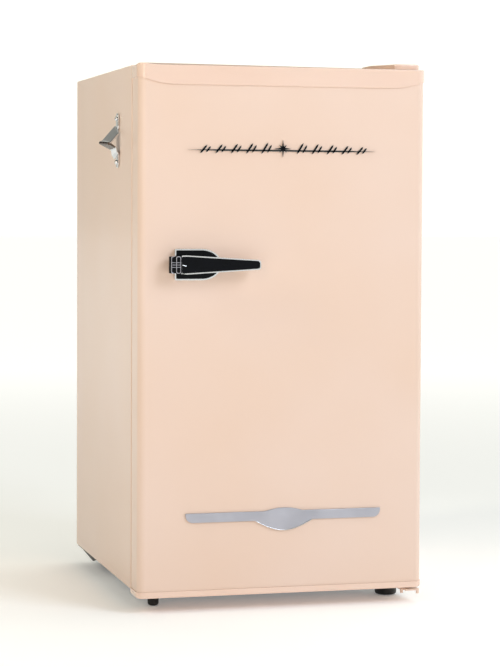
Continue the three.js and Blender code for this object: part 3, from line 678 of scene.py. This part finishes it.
def buildDoorCaps():
    low, high = boxOf("door_cap_top")
    top = high.z
    panel, panelTop = boxOf("door_panel")
    ear = 2.2
    top -= ear
    rim = []
    for x, y in doorOutline(door["proud"], panelTop.y, 60, 18):
        rim.append((x, y, topCapEdge(x, low.z + 1)))
    seam = top - capShape["slab"] + 0.2
    reach = door["half"] + door["proud"]
    rim += [(reach, panelTop.y, seam), (-reach, panelTop.y, seam)]
    cap = lid("door_top_cap", rim, top, capShape["topRound"], door["skirt"])
    lift = lambda x: ear * max(0, 1 - max(0, (x + 213) / 17)) ** 1.4
    for vertex in cap.data.vertices:
        x = (vertex.co.x - centreX) / mm
        y = (vertex.co.y - skinY) / mm
        if vertex.co.z > (top - 3) * mm and y < 14:
            vertex.co.z += lift(x) * mm * max(0, 1 - max(0, y - 6) / 8)
    dress(cap, "door", mouldedAbs, "cap_plastic", "door_cap_top")

    low, high = boxOf("door_cap_bottom")
    rim = [(x, y, high.z) for x, y in doorOutline(door["proud"], panelTop.y, 1, 18)]
    seam = low.z + capShape["bottomSlab"] - 0.2
    rim += [(reach, panelTop.y, seam), (-reach, panelTop.y, seam)]
    cap = lid("door_bottom_cap", rim, low.z, capShape["bottomRound"], door["skirt"], 8)
    dress(cap, "door", mouldedAbs, "cap_plastic", "door_cap_bottom")


cover = {"bevel": 2.4, "wall": 1.8}


def buildHingeCover():
    low, high = boxOf("hinge_cover")
    cabinetTop = boxOf("cabinet_wrap")[1].z
    step = cabinetTop + 0.3
    outline = ([(152.3, 97.7), (152.3, 58.4), (178, 12.7), (184, 10.6), (190, 10)]
               + arc(207, 22, 12, -90, 0, 12) + [(219, 50), (219, 98)])
    rim = [(x, y, low.z if y < 51 else step) for x, y in outline]
    piece = lid("hinge_cover_shell", rim, high.z, cover["bevel"], cover["wall"], 6)
    dress(piece, "cabinet", mouldedAbs, "cap_plastic", "hinge_cover")


# handle

handle = {"height": 521, "plateLeft": -169.5, "plateRight": -98.5, "plateHalf": 23.3, "plateFront": -6,
          "leverLeft": -163.7, "leverTip": -43, "wide": 14, "slim": 7.4, "leverBack": -18.5,
          "leverFront": -28.2}


def plateOutline(inset):
    left = handle["plateLeft"] + inset
    half = handle["plateHalf"] - inset
    straight = handle["plateLeft"] + 41
    bulge = handle["plateRight"] - straight - inset
    z = handle["height"]
    turn = [math.radians(-90 + 180 * i / 28) for i in range(29)]
    nose = [(straight + bulge * math.cos(t), z + half * math.sin(t)) for t in turn]
    corner = 2.0
    return (arc(left + corner, z - half + corner, corner, 180, 270, 4) + nose
            + arc(left + corner, z + half - corner, corner, 90, 180, 4))


def leverOutline(inset, leftInset=None):
    left = handle["leverLeft"] + (inset if leftInset is None else leftInset)
    tip = handle["leverTip"] - inset
    wide = handle["wide"] - inset
    slim = handle["slim"] - inset
    z = handle["height"]
    nose = 4.5 - inset * 0.4
    lower = arc(tip - nose, z - slim + nose, nose, -88, 0, 6)
    upper = arc(tip - nose, z + slim - nose, nose, 0, 88, 6)
    return [(left, z - wide + 1), (left + 1, z - wide + 0.2), (left + 8, z - wide)] + lower + upper + [
        (left + 8, z + wide), (left + 1, z + wide - 0.2), (left, z + wide - 1)]


def framedFace(name, outlineAt, front, back, rimWidth, sink, rimRound):
    # a plate whose face is sunk inside a rounded rim
    piece = fromFront(name, outlineAt(0), front, back)
    pick(piece, "FACE", lambda centre, normal: normal.y < -0.9)
    bpy.ops.mesh.inset(thickness=rimWidth * mm)
    bpy.ops.mesh.extrude_region_move(TRANSFORM_OT_translate={"value": (0, sink * mm, 0)})
    leaveEditMode()
    soften(piece, rimRound, 4, 35)
    return piece


def buildHandle():
    z = handle["height"]
    front = handle["plateFront"] - 1.1
    plate = framedFace("handle_rose", plateOutline, front, -0.3, 2.0, 1.6, 0.8)
    dress(plate, "door", chrome, "chrome", "handle_plate", angle=50)
    face = fromFront("handle_rose_face", plateOutline(2.15), front + 0.7, front + 1.55)
    soften(face, 0.35, 3)
    dress(face, "door", blackEnamel, "black_gloss", "handle_plate_inlay")

    lever = framedFace("handle_lever_bar", leverOutline, handle["leverFront"], handle["leverBack"],
                       1.5, 1.3, 0.6)
    # the rim stops short of the knuckle
    root = at(handle["leverLeft"] + 2.6, handle["leverFront"] + 0.9, 0)
    pick(lever, "VERT", lambda place, normal: place.x < root.x and place.y < root.y)
    bpy.ops.transform.translate(value=(0, 0.9 * mm, 0))
    leaveEditMode()
    dress(lever, "door", chrome, "chrome", "handle_lever", angle=50)
    face = fromFront("handle_lever_face", leverOutline(1.65, 0.1), handle["leverFront"] + 0.45,
                     handle["leverFront"] + 1.25)
    soften(face, 0.3, 3)
    dress(face, "door", blackEnamel, "black_gloss", "handle_lever_inlay")

    # the knuckle that carries the lever: a rounded block with two wire hoops and ribs between them
    outline = ([(-164, -7.4), (-178, -7.4)] + arc(-172, -17.5, 9, 180, 270, 12) + [(-164, -26.5)])
    block = fromAbove("knuckle_block", outline, z - 12.4, z + 12.4)
    soften(block, 1.0, 4)
    hoops = []
    for x in (-178.6, -171.6):
        ring = roundedBox(x, x + 6.2, z - 12.2, z + 12.2, 2.4, 5)
        depth = -25.2 if x < -175 else -27.0
        path = [at(a, depth, b) for a, b in ring]
        hoops.append(tubeAlong("hoop", path, 0.55, smooth=False, sides=6, closed=True))
    ribs = [tubeAlong("rib", [at(-178, -25.4, z + dz), at(-164.6, -27.0, z + dz)], 0.5, smooth=False,
                      sides=6)
            for dz in (-3.4, 0, 3.4)]
    wires = merge("knuckle_wires", *hoops, *ribs)
    dress(block, "door", blackEnamel, "black_gloss", "handle_knuckle")
    dress(wires, "door", satin, "satin_metal")
    # the end of the spring that shows between knuckle and lever
    dash = tubeAlong("lever_spring_end", [at(-163.4, -28.0, z - 0.2), at(-161, -28.2, z - 0.6),
                                          at(-157, -27.6, z - 1.8)], 0.8, smooth=False, sides=8)
    dress(dash, "door", chrome, "chrome")


# door ornaments

badge = {"x": -3, "z": 694, "half": 146, "star": 13, "points": 8, "line": 691}


def starOutline(radius, waist):
    points = badge["points"]
    outline = []
    for i in range(points * 2):
        angle = math.pi * i / points + math.pi / 2
        reach = waist if i % 2 else (radius if i % 4 == 0 else radius * 0.62)
        outline.append((badge["x"] + reach * math.cos(angle), badge["z"] + reach * math.sin(angle)))
    return outline


def blade(start, end, width, grow):
    # a slim bar that runs to a point at both ends, made wider by grow all round
    dx, dz = end[0] - start[0], end[1] - start[1]
    length = math.hypot(dx, dz)
    ux, uz = dx / length, dz / length
    half = width / 2 + grow
    tip = grow * 1.6
    shoulders = []
    for share, sign in ((0.18, 1), (0.82, 1), (0.82, -1), (0.18, -1)):
        shoulders.append((start[0] + dx * share - uz * half * sign,
                          start[1] + dz * share + ux * half * sign))
    first = (start[0] - ux * tip, start[1] - uz * tip)
    last = (end[0] + ux * tip, end[1] + uz * tip)
    return [first, shoulders[0], shoulders[1], last, shoulders[2], shoulders[3]]


def buildBadge():
    x0, line = badge["x"], badge["line"]
    blades = [((x0 - badge["half"], line), (x0 + badge["half"], line), 2.0)]
    for step in range(1, 6):
        for side in (-1, 1):
            middle = x0 + side * (4 + 23.5 * step)
            tall = 12.5 - 1.1 * step
            # pairs of slanted strokes, one long and one short, leaning to the right
            blades.append(((middle - 5.5, line - 4.5), (middle + 4.5, line + tall), 2.5))
            blades.append(((middle + 3.5, line - 3), (middle + 10, line + tall * 0.72), 2.1))
    edges = []
    faces = []
    for start, end, width in blades:
        edges.append(fromFront("edge", blade(start, end, width, 0.35), -0.3, -2.0))
        faces.append(fromFront("face", blade(start, end, width, -0.25), -1.8, -2.6))
    edges.append(fromFront("edge", starOutline(badge["star"], 3.9), -0.3, -2.6))
    faces.append(fromFront("face", starOutline(badge["star"] - 1.3, 3.1), -2.4, -3.2))
    edging = merge("ornament_edging", *edges)
    dress(edging, "door", chrome, "chrome", "badge", angle=20)
    inlay = merge("ornament_inlay", *faces)
    dress(inlay, "door", blackEnamel, "black_gloss", angle=20)


trim = {"x": 1.5, "half": 152.5, "low": 135.4, "high": 149.6, "lensHalf": 44, "lensDrop": 14.5,
        "lensRise": 4.75}


def trimOutline():
    # a long bar with quarter-round lower ends and a lens-shaped swelling at its middle
    x, half, low, high = trim["x"], trim["half"], trim["low"], trim["high"]
    end = 11.5
    under = [(x - trim["lensHalf"] + 2 * trim["lensHalf"] * i / 24,
              low - trim["lensDrop"] * math.sin(math.pi * i / 24)) for i in range(25)]
    over = [(x + 30 - 60 * i / 16, high + trim["lensRise"] * math.sin(math.pi * i / 16)) for i in range(17)]
    leftEnd = arc(x - half + end, low + end, end, 180, 270, 8)
    rightEnd = arc(x + half - end, low + end, end, 270, 360, 8)
    return leftEnd + under + rightEnd + [(x + half, high)] + over + [(x - half, high)]


def buildLowerTrim():
    bar = fromFront("lower_trim_bar", trimOutline(), -2.6, -0.3)
    soften(bar, 0.8, 4, 35)
    dress(bar, "door", satin, "satin_metal", "lower_trim", angle=50)
    # a polished lip follows the lower edge of the lens
    x, low = trim["x"], trim["low"]
    edge = [at(x - trim["lensHalf"] + 2 * trim["lensHalf"] * i / 24, -2.3,
               low - 0.3 - trim["lensDrop"] * math.sin(math.pi * i / 24)) for i in range(25)]
    lip = tubeAlong("lens_lip", edge, 0.55, smooth=False, sides=8)
    dress(lip, "door", chrome, "chrome")


# bottle opener

opener = {"y": 150, "z": 708, "wall": -222.8, "thick": 2.6, "reach": 28.6, "half": 13}


def buildOpener():
    o = opener
    outer = o["wall"] - o["thick"]
    ears = []
    for z0, z1 in ((o["z"] + 15, o["z"] + 42), (o["z"] - 42, o["z"] - 15)):
        outline = roundedBox(o["y"] - 8, o["y"] + 8, z0, z1, 7.4, 10)
        ears.append(soften(fromSide("ear", outline, outer, o["wall"]), 0.9, 4))
    tip = -222.5 - o["reach"]
    # the hood: a bright plate down to a rolled lip, an arm back to the wall in chrome darkened with a painted
    # dark reflection and a bright bend below it, all drawn in towards the wall at the front
    z, half = o["z"], o["half"]
    plate = [(outer + 1, z + 23.5), (outer - 2, z + 21.4), (tip + 6.6, z + 1.6), (tip + 2.8, z - 1.2),
             (tip + 4, z - 3.4), (tip + 8.4, z - 2.8), (outer + 1, z + 18.8)]
    bend = [(outer - 8.4, z - 13.9), (outer - 6.4, z - 16), (outer - 5.2, z - 23), (outer - 1.4, z - 29),
            (outer + 1, z - 29), (outer + 1, z - 26.4), (outer - 2.4, z - 22), (outer - 3.6, z - 15),
            (outer - 6, z - 11.4)]
    arm = [(tip + 3, z - 2.6), (tip + 2.2, z - 6.2), (outer - 8.6, z - 13.9), (outer - 6.2, z - 11.3),
           (tip + 8.4, z - 3.2)]
    shrink = 0.62
    near = at(0, o["y"] - half + 0.1, 0).y
    parts = []
    for name, section in (("opener_plate", plate), ("opener_bend", bend), ("opener_arm", arm)):
        part = fromFront(name, section, o["y"] - half, o["y"] + half)
        pick(part, "VERT", lambda place, normal: place.y < near)
        bpy.ops.transform.resize(value=(shrink, 1, shrink), center_override=at(outer, o["y"], z - 8))
        leaveEditMode()
        parts.append(soften(part, 0.5, 3, 20))
    roll = [(tip + 2.6, o["y"] + half, z - 3.6),
            (outer + (tip + 2.6 - outer) * shrink, o["y"] - half, z - 8 + 4.4 * shrink)]
    lip = tubeAlong("opener_lip", [at(*point) for point in roll], 2.5, smooth=False, sides=16)
    body = merge("bottle_opener_body", parts[0], parts[1], *ears)
    dress(body, "cabinet", chrome, "chrome", "bottle_opener", angle=35)
    inner = merge("bottle_opener_arm", parts[2], lip)
    # the arm is chrome whose colour carries a painted dark reflection
    dress(inner, "cabinet", chromePaintedDarkReflection, "chrome", angle=35)
    for node, dz in (("opener_screw_top", 33.5), ("opener_screw_bottom", -33.5)):
        centre = at(outer - 0.3, o["y"], o["z"] + dz)
        dome = [(0, -2.8), (1.4, -2.7), (2.6, -2.2), (3.4, -1.3), (3.8, -0.2), (3.8, 0), (0, 0)]
        head = turnRound(f"{node}_head", dome, centre, "X", 28)
        slots = []
        for y, z in ((2.1, 0.38), (0.38, 2.1)):
            slots.append(addBlock("slot", (outer - 4, o["y"] - y, o["z"] + dz - z),
                                  (outer - 1.6, o["y"] + y, o["z"] + dz + z)))
        cut(head, *slots)
        dress(head, "cabinet", chrome, "chrome", node)


# feet

def buildFeet():
    slim = [(0, 0), (3, 0.1), (6, 0.9), (8, 2.6), (8.5, 4.4), (8.5, 23.9), (8.1, 24.5), (3.5, 24.5),
            (3.5, 30.6), (0, 30.6)]
    wide = [(0, 0), (8, 0.1), (13, 0.6), (15.6, 1.6), (16.8, 3.2), (17, 4.6), (17, 23.7), (16.4, 24.5),
            (5, 24.5), (5, 31), (0, 31)]
    rear = [(0, 0), (10.5, 0), (12.6, 0.8), (14, 3), (13.4, 8), (12.4, 12), (12, 27.4), (11.4, 28.2),
            (0, 28.2)]
    for node, profile, x, y in (("foot_left", slim, -183, 74), ("foot_right", wide, 193, 84)):
        foot = turnRound(f"{node}_turned", profile, at(x, y, 0), "Z", 56)
        dress(foot, node, blackPlastic, "black_plastic", node, angle=35)
    for node, x in (("rear_foot_left", -170), ("rear_foot_right", 170)):
        foot = turnRound(f"{node}_turned", rear, at(x, 468, 0), "Z", 48)
        dress(foot, "cabinet", rubber, "rubber", node, angle=35)


# cooling unit

motor = {"x": 45, "y": 436, "base": 43}
grille = {"wire": 0.7, "pitch": 6, "reach": 162, "low": 252, "high": 772}


def buildCoolingUnit():
    x, y, base = motor["x"], motor["y"], motor["base"]
    shell = [(0, 0), (38, 0), (50, 3), (58, 8), (62, 16), (63, 24), (63, 54.5), (65.6, 56), (66, 57.5),
             (66, 60.5), (65.6, 62), (63, 63.5), (62.4, 88), (60, 99), (52, 110), (42, 117), (30, 121),
             (15, 122.8), (0, 123)]
    can = turnRound("compressor_can", shell, at(x, y, base), "Z", 72)
    dress(can, "cabinet", stoveEnamel, "dark_steel", "compressor", angle=35)
    dress(fineCopy("compressor_base", 0.3, 2), "cabinet", stoveEnamel, "dark_steel", "compressor_base")
    bracket = fineCopy("compressor_bracket", 0.8, 3)
    dress(bracket, "cabinet", stoveEnamel, "dark_steel", "compressor_bracket")
    dress(fineCopy("terminal_cover", 1.5, 4), "cabinet", blackPlastic, "black_plastic", "terminal_cover")
    tray = fineCopy("evaporation_tray", 0.8, 3)
    dress(tray, "cabinet", whiteStyrene, "white_plastic", "evaporation_tray")
    low, high = boxOf("cord_gland")
    gland = [(0, 0), (6, 0), (6, -3), (4.6, -3.4), (4.6, -6), (4.2, -7), (4.4, -9), (4.0, -10), (4.2, -12),
             (3.8, -13), (4.0, -15), (3.7, -16), (3.7, -20), (0, -20)]
    centre = at(high.x, (low.y + high.y) / 2, (low.z + high.z) / 2)
    dress(turnRound("cord_gland_body", gland, centre, "X", 28), "cabinet", blackPlastic, "black_plastic",
          "cord_gland", angle=35)
    bolts = []
    for i in range(1, 5):
        node = f"grommet_{i}"
        low, high = boxOf(node)
        cx, cy = (low.x + high.x) / 2, (low.y + high.y) / 2
        ring = [(0, 0), (9, 0), (9, 2.4), (8.2, 3.2), (6, 4.2), (6, 4.8), (8, 5.8), (8, 7.9), (7.4, 8.4),
                (0, 8.4)]
        dress(turnRound(f"{node}_ring", ring, at(cx, cy, low.z), "Z", 32), "cabinet", rubber, "rubber", node)
        top = boxOf("compressor_bracket")[1].z + 0.1
        bpy.ops.mesh.primitive_cylinder_add(vertices=6, radius=5 * mm, depth=4 * mm,
                                            location=at(cx, cy, top + 2.9))
        nut = settle(bpy.context.object, "nut")
        soften(nut, 0.5, 2)
        washer = turnRound("washer", [(0, 0), (7.5, 0), (7.5, 0.8), (0, 0.8)], at(cx, cy, top), "Z", 28)
        end = [(0, 0), (2.9, 0), (2.9, 3), (2.3, 3.6), (0, 3.6)]
        stud = turnRound("stud", end, at(cx, cy, top + 5), "Z", 20)
        bolts += [nut, washer, stud]
    dress(merge("compressor_bolts", *bolts), "cabinet", zinc, "zinc_steel")
    for node in ("suction_tube", "discharge_tube"):
        dress(fineCopy(node, rounds=1), "cabinet", copper, "copper", node, angle=60)
    low, high = boxOf("filter_drier")
    drier = turnRound("filter_drier_body", [(0, 0), (3, 1), (3, 12), (4.5, 14), (8.4, 19), (9, 21), (9, 85),
                                            (8.4, 88), (4, 93), (3, 96), (3, 105.5), (2.6, 106.5), (0, 107)],
                      Vector((0, 0, 0)), "Z", 32)
    drier.rotation_euler.x = 0.16
    drier.location = at((low.x + high.x) / 2, high.y - 4, low.z + 1)
    settle(drier, "filter_drier_body")
    dress(drier, "cabinet", copper, "copper", "filter_drier", angle=35)
    tube = fineCopy("condenser_tube", rounds=1)
    dress(tube, "cabinet", stoveEnamel, "dark_steel", "condenser_tube", angle=60)
    for side in ("left", "right"):
        node = f"condenser_strap_{side}"
        dress(fineCopy(node, 0.5, 2), "cabinet", stoveEnamel, "dark_steel", node)
    low, high = boxOf("condenser_tube")
    depth = low.y - grille["wire"]
    wires = []
    count = int(2 * grille["reach"] / grille["pitch"])
    for i in range(count + 1):
        x = -grille["reach"] + i * grille["pitch"]
        if min(abs(x - 130), abs(x + 130)) > 9:
            wires.append(x)
    length = grille["high"] - grille["low"]
    profile = [(0, 0), (grille["wire"], 0), (grille["wire"], length), (0, length)]
    first = turnRound("wire", profile, at(wires[0], depth, grille["low"]), "Z", 8)
    rest = [copyOf(first, "wire", ((x - wires[0]) * mm, 0, 0)) for x in wires[1:]]
    dress(merge("condenser_wires", first, *rest), "cabinet", stoveEnamel, "dark_steel")


# fittings inside the cabinet

def buildFreezer():
    dress(fineCopy("freezer_box", 0.5, 2), "cabinet", evaporatorSheet, "aluminium", "freezer_box")
    low, high = boxOf("freezer_box")
    floor = 650
    runs = []
    # the raised refrigerant channel folded over the underside and up both sides
    for x, inner in ((low.x + 1.5 + 0.3, 1), (high.x - 1.5 - 0.3, -1)):
        zig = []
        for i in range(5):
            z = floor + 14 + i * 24
            near, far = (low.y + 22, high.y - 22) if i % 2 == 0 else (high.y - 22, low.y + 22)
            zig += [at(x, near, z), at(x, far, z)]
        runs.append(tubeAlong("channel", zig, 2.2, smooth=False, sides=8))
    zig = []
    for i in range(9):
        x = low.x + 18 + i * 31.5
        near, far = (low.y + 22, high.y - 22) if i % 2 == 0 else (high.y - 22, low.y + 22)
        zig += [at(x, near, floor + 1.7), at(x, far, floor + 1.7)]
    runs.append(tubeAlong("channel", zig, 2.2, smooth=False, sides=8))
    dress(merge("freezer_channels", *runs), "cabinet", evaporatorSheet, "aluminium", angle=60)

    flap = fineCopy("freezer_flap", 1.0, 3)
    low, high = boxOf("freezer_flap")
    ribs = []
    for i in range(7):
        z = 672 + i * 11
        rib = addBlock("rib", (low.x + 22, 191.2, z), (high.x - 22, 192.6, z + 4.5))
        ribs.append(soften(rib, 0.6, 3))
    flap = merge("freezer_flap_door", flap, *ribs)
    dress(flap, "freezer_flap", whiteStyrene, "white_plastic", "freezer_flap")
    dress(fineCopy("drip_tray", 0.8, 3), "drip_tray", clearStyrene, "clear_plastic", "drip_tray")


dial = {"x": 152, "z": 722, "face": 214.7, "radius": 24}


def buildThermostat():
    housing = fineCopy("thermostat_housing", 2.0, 4)
    dress(housing, "cabinet", whiteStyrene, "white_plastic", "thermostat_housing")
    profile = [(0, -14.4), (12, -14.2), (14.4, -13.4), (15, -12), (15.5, -5.4), (16.2, -4.2), (18.4, -3.2),
               (19, -2.4), (19, 0), (0, 0)]
    knob = turnRound("knob_turned", profile, at(dial["x"], dial["face"], dial["z"]), "Y", 56)
    wing = addBlock("wing", (dial["x"] - 3, dial["face"] - 17, dial["z"] - 16),
                    (dial["x"] + 3, dial["face"] - 12, dial["z"] + 16))
    soften(wing, 1.4, 4)
    knob = merge("thermostat_dial", knob, wing)
    dress(knob, "thermostat_knob", whiteStyrene, "white_plastic", "thermostat_knob")
    mark = addBlock("dial_mark", (dial["x"] - 0.8, dial["face"] - 17.4, dial["z"] + 6),
                    (dial["x"] + 0.8, dial["face"] - 16.8, dial["z"] + 14.5))
    dress(soften(mark, 0.2, 2), "thermostat_knob", blackPlastic, "black_plastic")
    ticks = []
    for i in range(8):
        angle = math.radians(225 - i * 270 / 7)
        size = 1.0 + i * 0.22
        x = dial["x"] + dial["radius"] * math.cos(angle)
        z = dial["z"] + dial["radius"] * math.sin(angle)
        ticks.append(turnRound("tick", [(0, -0.5), (size - 0.2, -0.5), (size, -0.3), (size, 0.1), (0, 0.1)],
                               at(x, dial["face"] + 0.2, z), "Y", 18))
    dress(merge("dial_ticks", *ticks), "cabinet", blackPlastic, "black_plastic")


def buildShelves():
    for level in ("upper", "lower"):
        body = f"shelf_{level}"
        dress(fineCopy(f"{body}_glass", 0.9, 4), body, glass, "shelf_glass", f"{body}_glass")
        dress(fineCopy(f"{body}_trim", 1.2, 4), body, whiteStyrene, "white_plastic", f"{body}_trim")
    dress(fineCopy("crisper_cover", 0.9, 4), "cabinet", glass, "shelf_glass", "crisper_cover")
    crisper = fineCopy("crisper_drawer", 0.9, 3)
    dress(crisper, "crisper_drawer", clearStyrene, "clear_plastic", "crisper_drawer")


# inside of the door

def addBin(node, wall, corner, drop, name):
    # moulded open bin with round corners; its rim falls away towards the room
    low, high = boxOf(node)
    piece = addBlock(name, low, high)
    pick(piece, "EDGE", lambda middle, way: abs(way.z) > 0.9 and middle.y > at(0, low.y + 1, 0).y)
    bpy.ops.mesh.bevel(offset=corner * mm, segments=8, affect="EDGES")
    leaveEditMode()
    pick(piece, "FACE", lambda centre, normal: normal.z > 0.9)
    bpy.ops.mesh.inset(thickness=wall * mm)
    bpy.ops.mesh.extrude_region_move(TRANSFORM_OT_translate={"value": (0, 0, (low.z - high.z + wall) * mm)})
    leaveEditMode()
    edge = at(0, high.y - 15, high.z - 1)
    pick(piece, "VERT", lambda place, normal: place.z > edge.z and place.y > edge.y)
    bpy.ops.transform.translate(value=(0, 0, -drop * mm))
    leaveEditMode()
    soften(piece, 0.7, 3, 35)
    ribs = []
    count = max(2, int((high.x - low.x) / 26))
    for i in range(1, count):
        x = low.x + (high.x - low.x) * i / count
        rib = addBlock("rib", (x - 0.8, high.y - 0.2, low.z + 6), (x + 0.8, high.y + 0.7, high.z - drop - 8))
        ribs.append(soften(rib, 0.3, 2))
    piece = merge(name, piece, *ribs)
    dress(piece, "door", clearStyrene, "clear_plastic", node)


def buildDoorInside():
    liner = fineCopy("door_liner", 2.2, 4)
    dress(liner, "door", whiteStyrene, "white_plastic", "door_liner")
    seal = fineCopy("door_gasket")
    rear = boxOf("door_gasket")[1].y
    pick(seal, "FACE", lambda centre, normal: normal.y > 0.9)
    bpy.ops.mesh.inset(thickness=3.2 * mm)
    bpy.ops.mesh.inset(thickness=1.4 * mm)
    bpy.ops.transform.translate(value=(0, -1.6 * mm, 0))
    leaveEditMode()
    soften(seal, 0.9, 3)
    dress(seal, "door", sealVinyl, "seal_vinyl", "door_gasket")
    addBin("bin_upper", 2.2, 9, 16, "upper_bin")
    addBin("bin_middle", 2.2, 9, 16, "middle_bin")
    addBin("bin_bottle", 2.4, 10, 18, "bottle_bin")
    dress(fineCopy("can_dispenser", 0.9, 3), "door", clearStyrene, "clear_plastic", "can_dispenser")


buildCabinet()
print("cabinet built")
buildBackPanel()
print("back panel built")
buildDoorSkin()
buildDoorCaps()
buildHingeCover()
print("door shell built")
buildHandle()
buildBadge()
buildLowerTrim()
print("handle and ornaments built")
buildOpener()
buildFeet()
print("opener and feet built")
buildCoolingUnit()
print("cooling unit built")
buildFreezer()
buildThermostat()
buildShelves()
buildDoorInside()
print("inside built")


# studio

studio = {"floorSize": 80, "nearGlow": 0.15, "farGlow": 0.46, "near": 1.2, "far": 4.5, "room": 1.14,
          "towardLeft": 0.08, "towardFront": 0.22}


def softbox(name, place, aim, width, height, power, shade="#ffffff"):
    light = bpy.data.lights.new(name, "AREA")
    light.shape = "RECTANGLE"
    light.size = width
    light.size_y = height
    light.energy = power
    light.color = colour(shade)[:3]
    lamp = bpy.data.objects.new(name, light)
    bpy.context.collection.objects.link(lamp)
    lamp.location = place
    lamp.rotation_euler = (Vector(aim) - Vector(place)).to_track_quat("-Z", "Y").to_euler()


def buildFloor():
    bpy.ops.object.select_all(action="DESELECT")
    bpy.ops.mesh.primitive_plane_add(size=studio["floorSize"], location=(0, 0, 0))
    floor = bpy.context.object
    floor.name = "studio_floor"
    # white background paper with a glow that grows away from the fridge, so that it runs out to white
    paper, tree, shader, place = startMaterial("whitePaperFloor", {
        "Roughness": 0.9, "Specular IOR Level": 0.1, "Emission Color": colour("#ffffff")})
    away = addNode(tree, "ShaderNodeVectorMath", {"operation": "LENGTH"}, {0: place})
    spread(tree, shader, "Emission Strength", away.outputs["Value"], studio["nearGlow"], studio["farGlow"],
           studio["near"], studio["far"])
    fibre = addNode(tree, "ShaderNodeTexNoise", {"Scale": 30.0, "Detail": 3.0}, {"Vector": place})
    tint(tree, shader, fibre.outputs["Fac"], "#fafafa", "#fcfcfc")
    floor.data.materials.append(paper)


def buildWorld():
    # a white room, darker towards the left and the front so that metal has something to mirror; the
    # backdrop itself is plain white
    world = bpy.data.worlds.new("studioWorld")
    bpy.context.scene.world = world
    world.use_nodes = True
    tree = world.node_tree
    background = tree.nodes["Background"]
    background.inputs["Color"].default_value = colour("#fffff4")
    around = addNode(tree, "ShaderNodeTexCoord").outputs["Generated"]
    way = addNode(tree, "ShaderNodeSeparateXYZ", links={"Vector": around})
    side = addNode(tree, "ShaderNodeMapRange", {"From Min": -0.5, "From Max": 0.1,
                                                "To Min": studio["towardLeft"], "To Max": studio["room"]},
                   {"Value": way.outputs["X"]})
    front = addNode(tree, "ShaderNodeMapRange", {"From Min": -0.75, "From Max": 0.05,
                                                 "To Min": studio["towardFront"], "To Max": 1.0},
                    {"Value": way.outputs["Y"]})
    both = addNode(tree, "ShaderNodeMath", {"operation": "MULTIPLY"},
                   {0: side.outputs[0], 1: front.outputs[0]})
    seen = addNode(tree, "ShaderNodeLightPath").outputs["Is Camera Ray"]
    shown = addNode(tree, "ShaderNodeMath", {"operation": "MAXIMUM"}, {0: both.outputs[0], 1: seen})
    tree.links.new(shown.outputs[0], background.inputs["Strength"])


def buildStudio():
    buildFloor()
    buildWorld()
    softbox("keyLight", (1.7, -2.5, 2.3), (0.0, -0.2, 0.5), 1.5, 1.5, 52, "#e4f0ff")
    softbox("fillLight", (-1.9, -2.9, 1.5), (0, -0.2, 0.45), 0.9, 1.8, 12, "#ffdcb8")
    softbox("edgeLight", (-1.5, -2.6, 1.4), (0, 0, 0.45), 0.25, 1.8, 6)
    softbox("stripLight", (-2.1, -0.7, 1.9), (-0.2, 0.0, 0.9), 0.3, 1.2, 18, "#fffbe6")


view = {"place": (-882.5, -3076.3, 605.4), "yaw": 15.10, "pitch": -2.30, "roll": 0.27, "lens": 115.08,
        "shiftY": -0.06}


def buildCamera():
    data = bpy.data.cameras.new("studioCamera")
    data.lens = view["lens"]
    data.shift_y = view["shiftY"]
    camera = bpy.data.objects.new("studioCamera", data)
    bpy.context.collection.objects.link(camera)
    turn = Euler((math.radians(90 + view["pitch"]), 0, math.radians(-view["yaw"]))).to_matrix().to_4x4()
    turn = turn @ Matrix.Rotation(math.radians(view["roll"]), 4, "Z")
    camera.location = at(*view["place"])
    camera.rotation_euler = turn.to_euler()
    bpy.context.scene.camera = camera
    bpy.context.scene.view_settings.view_transform = "Standard"


buildStudio()
buildCamera()
print("studio built")
